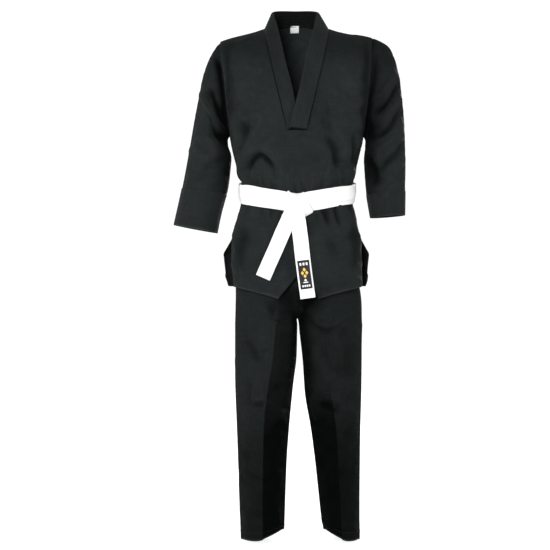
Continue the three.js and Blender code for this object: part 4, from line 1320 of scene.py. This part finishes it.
# Waistband: a gathered casing, open below, with two channels of stitching
outline = [(-4.4, HIP_TOP + 1.5), (-4.6, HIP_TOP + 12), (-4.4, WAIST_TOP - 5), (-2.6, WAIST_TOP - 0.9), (0, WAIST_TOP),
           (2.6, WAIST_TOP - 0.9), (4.4, WAIST_TOP - 5), (4.6, HIP_TOP + 12), (4.4, HIP_TOP + 1.5)]
section = catmull(outline, steps(48))
across_band, z = section[:, :1], section[:, 1:]
turn = turns(2 * HIP_COLUMNS)
half_x, half_y = at(HIP_SIDE, HIP_TOP), at(HIP_DEPTH, HIP_TOP)
ruffle = 0.9 * np.sin(66 * turn) + 0.5 * np.sin(101 * turn + 1)
channel = bump(z, HIP_TOP + 20, 1.2) + bump(z, HIP_TOP + 5, 1.2)
off = across_band + np.sign(across_band) * (ruffle * ease((WAIST_TOP - z) / 12) * 0.8 - 0.9 * channel)
band = oval(half_x + off, half_y + off, turn, z)
piece = shell("trouser_waistband", band, 1.3, wrap=True, inside=band.mean(axis=0, keepdims=True))
finish(piece, "trouser_cloth", "trousers", ("waistband_casing",))

turn = turns(400)
rib = 0.35 * np.sin(12 * np.pi * steps(12))[:, None] + 0.25 * np.sin(100 * turn)
elastic = oval(half_x + rib, half_y + rib, turn, np.linspace(930, 954, 13)[:, None])
finish(shell("waist_elastic_rib", elastic, 1.2, wrap=True), "elastic", "trousers", ("waist_elastic",))

# Drawcord: braided, with knotted ends
CORD_HEIGHT, CORD_RADIUS = 958.6, 1.7
ends = [(17, -97.5, 886), (17.5, -96.5, 915), (18, -95.5, 944), (19, -93, CORD_HEIGHT - 3), (20, -88.5, CORD_HEIGHT),
        (24, -84.9, CORD_HEIGHT), (32, -83.2, CORD_HEIGHT)]
channel = [(half_x * math.sin(a), -half_y * math.cos(a), CORD_HEIGHT) for a in np.radians(np.arange(30, 331, 15))]
path = np.array(ends + channel + [(-x, y, z) for x, y, z in reversed(ends)], float)
CORD_RINGS = 800
line = catmull(path, np.linspace(0, 1, 900))
run = run_along(line)
line = at_run(np.linspace(0, run[-1], CORD_RINGS), run, line)
ahead = unit(np.gradient(line, axis=0))
first = unit(np.cross(ahead, (0.35, 0.2, 1.0)))
second = np.cross(ahead, first)
turn, ring = turns(12), np.arange(CORD_RINGS)[:, None]
knot = 1 + 0.9 * np.exp(-((ring - 8) / 5.0) ** 2) + 0.9 * np.exp(-((ring - (CORD_RINGS - 9)) / 5.0) ** 2)
radius = (CORD_RADIUS * knot * (1 + 0.10 * np.sin(3 * turn + ring * 1.1)))[..., None]
cord = line[:, None] + radius * (first[:, None] * np.cos(turn)[..., None] + second[:, None] * np.sin(turn)[..., None])
finish(shell("drawcord_braid", cord, 0.8, wrap=True, inside=line[:, None]), "cord", "trousers", ("drawcord",))

# Gusset
u, v = np.meshgrid(np.linspace(-1, 1, 17), np.linspace(0, 1, 61))
gusset = xyz(18 * u, -95.0 * np.cos(np.pi * v), HIP_BOTTOM + 4 - 92 * np.sin(np.pi * v) - 2 * u**2)
gusset[..., 2] += crumple(gusset[..., 0], gusset[..., 1], 43, 12, 1.5, 6, 30)
# Painted shade over the whole gusset, which sits between the legs.
piece = shell("trouser_gusset", gusset, inside=(0, 0, 760), wear_and_shade=-0.6)
finish(piece, "trouser_cloth", "trousers", ("crotch_gusset",))

# Legs: a closed tube below the fork, and above it a panel that opens towards the other leg
LEG_FOLDS = {
    "right": [
        ([(-120, 590), (-100, 548), (-84, 520)], 5.0, 10),
        ([(-140, 560), (-118, 520), (-96, 494)], -4.0, 9),
        ([(-60, 640), (-40, 600), (-20, 560)], 6.0, 12),
        ([(-80, 660), (-50, 612), (-18, 590)], -5.0, 10),
        ([(-128, 406), (-104, 398), (-86, 402)], 6.0, 8),
        ([(-120, 386), (-98, 384), (-84, 390)], -4.5, 7),
        ([(-84, 398), (-60, 372), (-40, 340)], 5.0, 12),
        ([(-100, 360), (-84, 330), (-76, 290)], 3.0, 10),
        ([(-140, 460), (-128, 420), (-134, 370)], -3.0, 12),
    ],
    "left": [
        ([(20, 655), (40, 618), (70, 596), (110, 606), (150, 648)], 6.0, 11, 0.2),
        ([(30, 634), (52, 596), (80, 580), (116, 588)], -5.0, 9),
        ([(44, 560), (62, 500), (84, 446), (92, 412)], 5.0, 12),
        ([(70, 408), (96, 396), (126, 382)], 7.0, 9, 0.2),
        ([(60, 386), (92, 374), (120, 362)], -6.0, 8),
        ([(120, 380), (140, 366), (156, 366)], 4.0, 9),
        ([(58, 420), (52, 380), (60, 330)], 4.0, 12),
        ([(150, 560), (140, 500), (146, 440)], -3.0, 14),
    ],
}


leg_turn = np.pi * (2 * steps(LEG_COLUMNS)[None, :] - 1)  # -pi and pi at the inseam, 0 at the outer side
from_crease = np.minimum(np.abs(leg_turn + np.pi / 2), np.abs(leg_turn - np.pi / 2))


def leg(label):
    side = SIDE_OF[label]
    u = steps(LEG_COLUMNS)[None, :]
    turn = leg_turn
    heights = np.concatenate([np.linspace(0, FORK, LEG_ROWS + 1), np.linspace(FORK, HIP_BOTTOM + 2, FORK_ROWS + 1)[1:]])
    z = heights[:, None]
    outer, inner = (at(LEGS[label], np.minimum(z, FORK), column) for column in (1, 2))
    x = inner + (outer - inner) * (0.5 + 0.5 * power(np.cos(turn), CREASE))
    x = x - side * CREASE_SLANT[label] * at(CREASE_SHIFT, z) * np.sin(turn) ** 2
    y = at(LEG_DEPTH, z) * power(np.sin(turn), CREASE)
    spread = np.sin(np.pi / 2 * np.clip((z - FORK) / (HIP_BOTTOM - FORK), 0, 1))
    x = mix(x, side * (0.3 + at(HIP_SIDE, HIP_BOTTOM) * np.sin(np.pi * u)), spread)
    y = mix(y, -at(HIP_DEPTH, HIP_BOTTOM) * np.cos(np.pi * u), spread)
    near_seam = bump(np.minimum(u, 1 - u), 0, 0.06) * ease(spread * 3)
    x = mix(x, side * 0.5, near_seam * ease((8 - np.abs(x)) / 8 + 0.2) * ease((z - FORK) / 30))
    return xyz(x, y, z), heights


def hip_weight(p):
    start = mix(640.0, 706.0, ease(np.abs(p[:, 0]) / 90))
    return ease((start - p[:, 2]) / 142)


def knee_weight(p):
    return ease((470 - p[:, 2]) / 140)


CUT_ROW = 150  # the row at which a leg is cut into its two pieces
LEG_HEM_ROWS = 10
INNER_LEG_SHADE = {"right": (0.50, 0.55), "left": (0.10, 0.45)}  # above and below the knee
LOWER_LEG_SHADE = {"right": 0.45, "left": 0.5}
OUTER_LEG_SHADE = {"right": 0.06, "left": 0.22}
front_share = mix(0.35, 1.0, ease(0.5 - 2 * np.sin(leg_turn)))  # less shade where the photo's light isn't seen
for label, side in SIDE_OF.items():
    cloth, heights = leg(label)
    turn = leg_turn
    x, y, z = np.moveaxis(cloth, -1, 0)
    front_facing = ease(-y / 40 + 0.4)
    crease = 4.5 * (np.exp(-np.abs(turn + np.pi / 2) / 0.045) + np.exp(-np.abs(turn - np.pi / 2) / 0.045))
    crease = crease * np.clip(1.15 - 0.5 * bump(z, 400, 26), 0, 1) * ease((646 - z) / 60)
    field = folds(x, z, LEG_FOLDS[label]) * front_facing
    back_folds = [([(px, pz - 18) for px, pz in line], -0.8 * height, *rest)
                  for line, height, *rest in LEG_FOLDS[label]]
    field += folds(x, z, back_folds) * (1 - front_facing)
    field += crumple(x, z, 51 + side, 46, 2.2, 13, 90)
    calm = ease(heights / 50)[:, None] * ease((HIP_BOTTOM + 2 - heights) / 24)[:, None]
    calm = calm * ease(np.minimum(turn + np.pi, np.pi - turn) / 0.3)
    axis = cloth.mean(axis=1, keepdims=True)
    outline = ease((np.abs(y) - 8) / 40)
    field = 1.3 * field * calm * mix(0.3, 1.0, outline) * (1 - 0.4 * bump(from_crease, 0, 0.3))
    # Painted shade: on the inner half of each leg, at its inner edge, towards the hem and a little over the whole leg;
    # painted light on the folds.
    inner_half = ease((-np.cos(turn) + 0.02) / 0.10) * np.ones_like(z)
    inner_half = mix(inner_half, ease((at(CREASE_LINE[label], z) - np.abs(x)) / 9), ease((z - 586) / 16))
    rim = np.exp(-((1 + np.cos(turn)) / 0.35) ** 2)
    upper_shade, lower_shade = INNER_LEG_SHADE[label]
    shade = mix(lower_shade, upper_shade, ease((z - 385) / 50)) * inner_half * ease((700 - z) / 70)
    shade = np.maximum(shade, 0.62 * rim * ease((720 - z) / 40)) * front_share
    hem_shade = LOWER_LEG_SHADE[label] * ease((450 - z) / 260) * front_share
    wear_and_shade = relief(field, 14.0) - shade - hem_shade - OUTER_LEG_SHADE[label] * front_share
    # Lighter along the creases.
    wear_and_shade = np.clip(wear_and_shade + 0.10 * bump(from_crease, 0, 0.03), -0.9, 1)
    wear_and_shade[:2] = 0.5
    cloth = cloth + grid_normals(cloth, False, axis) * (field + crease)[..., None]
    held = np.maximum(hold_edges(cloth, False, (8, 8), 5), 0.55 * bump(from_crease, 0, 0.05) * np.ones_like(x))
    held = np.maximum(held, 0.7 * (1 - outline))
    cloth = settle(f"{label}_leg", cloth, False, held, 0.025, 6, axis)
    cloth[..., 2] += ease(1 - heights / 60)[:, None] * (
        (0.5 - 0.5 * np.cos(turn)) ** 1.4 * 28 + 8 * ease(0.5 - np.sin(turn)))
    normal = grid_normals(cloth, False, axis)
    thick = np.where(np.arange(len(heights)) < LEG_HEM_ROWS, HEM_CLOTH, CLOTH)[:, None]
    thick[0] = 1.2
    outseam = LEG_COLUMNS // 2 + 1.2
    hem = grid_line(cloth, normal, row=LEG_HEM_ROWS - 0.7, off=HEM_OFF)
    for part, bodies, weight, rows, sewn_rows, more, nodes in (
            ("upper", ("trousers", f"{label}_leg"), hip_weight, slice(CUT_ROW, None), slice(CUT_ROW, None), [],
             ("leg_top", "thigh")),
            ("lower", (f"{label}_leg", f"{label}_shin"), knee_weight, slice(0, CUT_ROW + 1), slice(0, CUT_ROW), [hem],
             ("knee", "shin", "trouser_hem"))):
        body = (*bodies, weight)
        piece = shell(f"{label}_leg_{part}_cloth", cloth[rows], thick[rows], wear_and_shade=wear_and_shade[rows], normal=normal[rows])
        finish(piece, "trouser_cloth", body, [f"{label}_{node}" for node in nodes])
        sewn = [grid_line(cloth, normal, column=outseam, off=SEWN_OFF, part=sewn_rows)]
        stitches(f"{label}_outseam_{part}", sewn + more, body, "trouser_cloth")

# ---- Stage, light and camera --------------------------------------------------------------


def studio_paper(value, glow):
    """Pale studio paper that looks evenly lit to the camera, with soft shadows."""
    n = Nodes("studio_white")
    tone = n.colours(n.noise(n.position(), 2.0), grey(value * 0.985), grey(value))
    seen = n.add("ShaderNodeLightPath").outputs["Is Camera Ray"]
    return n.surface(Base_Color=tone, Roughness=0.9, Specular_IOR_Level=0.0, Emission_Color=(1, 1, 1, 1),
                     Emission_Strength=n.times(seen, glow))


floor_z = float(min(cad_box[0][2], 0.0)) - 0.0008
profile = [(-6.0, 0.0), (1.5, 0.0), (3.0, 0.1), (4.6, 0.7), (5.8, 2.2), (6.2, 7.0)]
curve = catmull([(0, y, z) for y, z in profile], steps(60))
curve[:, 2] = np.maximum(curve[:, 2], 0)
sweep = np.stack([xyz(x, curve[:, 1], curve[:, 2] + floor_z) for x in (-7.0, 7.0)], axis=1)
index = np.arange(122).reshape(61, 2)
quads = np.stack([index[:-1, 0], index[:-1, 1], index[1:, 1], index[1:, 0]], axis=1)
stage = link("studio_sweep", quad_mesh("studio_sweep", (sweep.reshape(-1, 3) - ORIGIN) * 1000, quads))
stage.data.materials.append(studio_paper(0.4, 0.86))

scene = bpy.context.scene
scene.view_settings.view_transform = "Standard"
world = bpy.data.worlds.new("studio")
scene.world = world
world.use_nodes = True
background = world.node_tree.nodes["Background"]
background.inputs["Color"].default_value = (1, 1, 1, 1)
seen = world.node_tree.nodes.new("ShaderNodeLightPath")
level = world.node_tree.nodes.new("ShaderNodeMapRange")
world.node_tree.links.new(seen.outputs["Is Camera Ray"], level.inputs["Value"])
level.inputs["To Min"].default_value, level.inputs["To Max"].default_value = 0.38, 1.0
world.node_tree.links.new(level.outputs["Result"], background.inputs["Strength"])


for name, location, target, size, power_w in (
        ("softbox_right", (-2.2, -1.1, 1.0), (-0.1, 0, 0.9), (0.8, 1.2), 40),
        ("softbox_left", (2.2, -1.1, 1.0), (0.1, 0, 0.9), (0.8, 1.2), 38),
        ("softbox_top", (-0.3, -1.7, 3.0), (0, 0, 1.15), (1.2, 0.8), 6),
        ("softbox_front", (-0.45, -2.5, 1.05), (0, 0, 0.95), (0.8, 0.6), 76),
        ("softbox_back", (0.9, 3.0, 1.7), (0, 0, 0.8), (1.4, 1.4), 120)):
    data = bpy.data.lights.new(name, "AREA")
    data.shape, data.energy = "RECTANGLE", power_w
    data.size, data.size_y = size
    light = bpy.data.objects.new(name, data)
    scene.collection.objects.link(light)
    light.location, light.visible_camera = location, False
    light.rotation_euler = (Vector(target) - Vector(location)).to_track_quat("-Z", "Y").to_euler()

middle = (cad_box[0] + cad_box[1]) / 2
camera = bpy.data.objects.new("camera", bpy.data.cameras.new("camera"))
scene.collection.objects.link(camera)
camera.data.lens, camera.data.sensor_width = 95.2, 36.0
camera.location = (middle[0] - 0.040, middle[1] - 4.0, middle[2] - 0.003)
camera.rotation_euler = (math.pi / 2, 0, 0)
scene.camera = camera
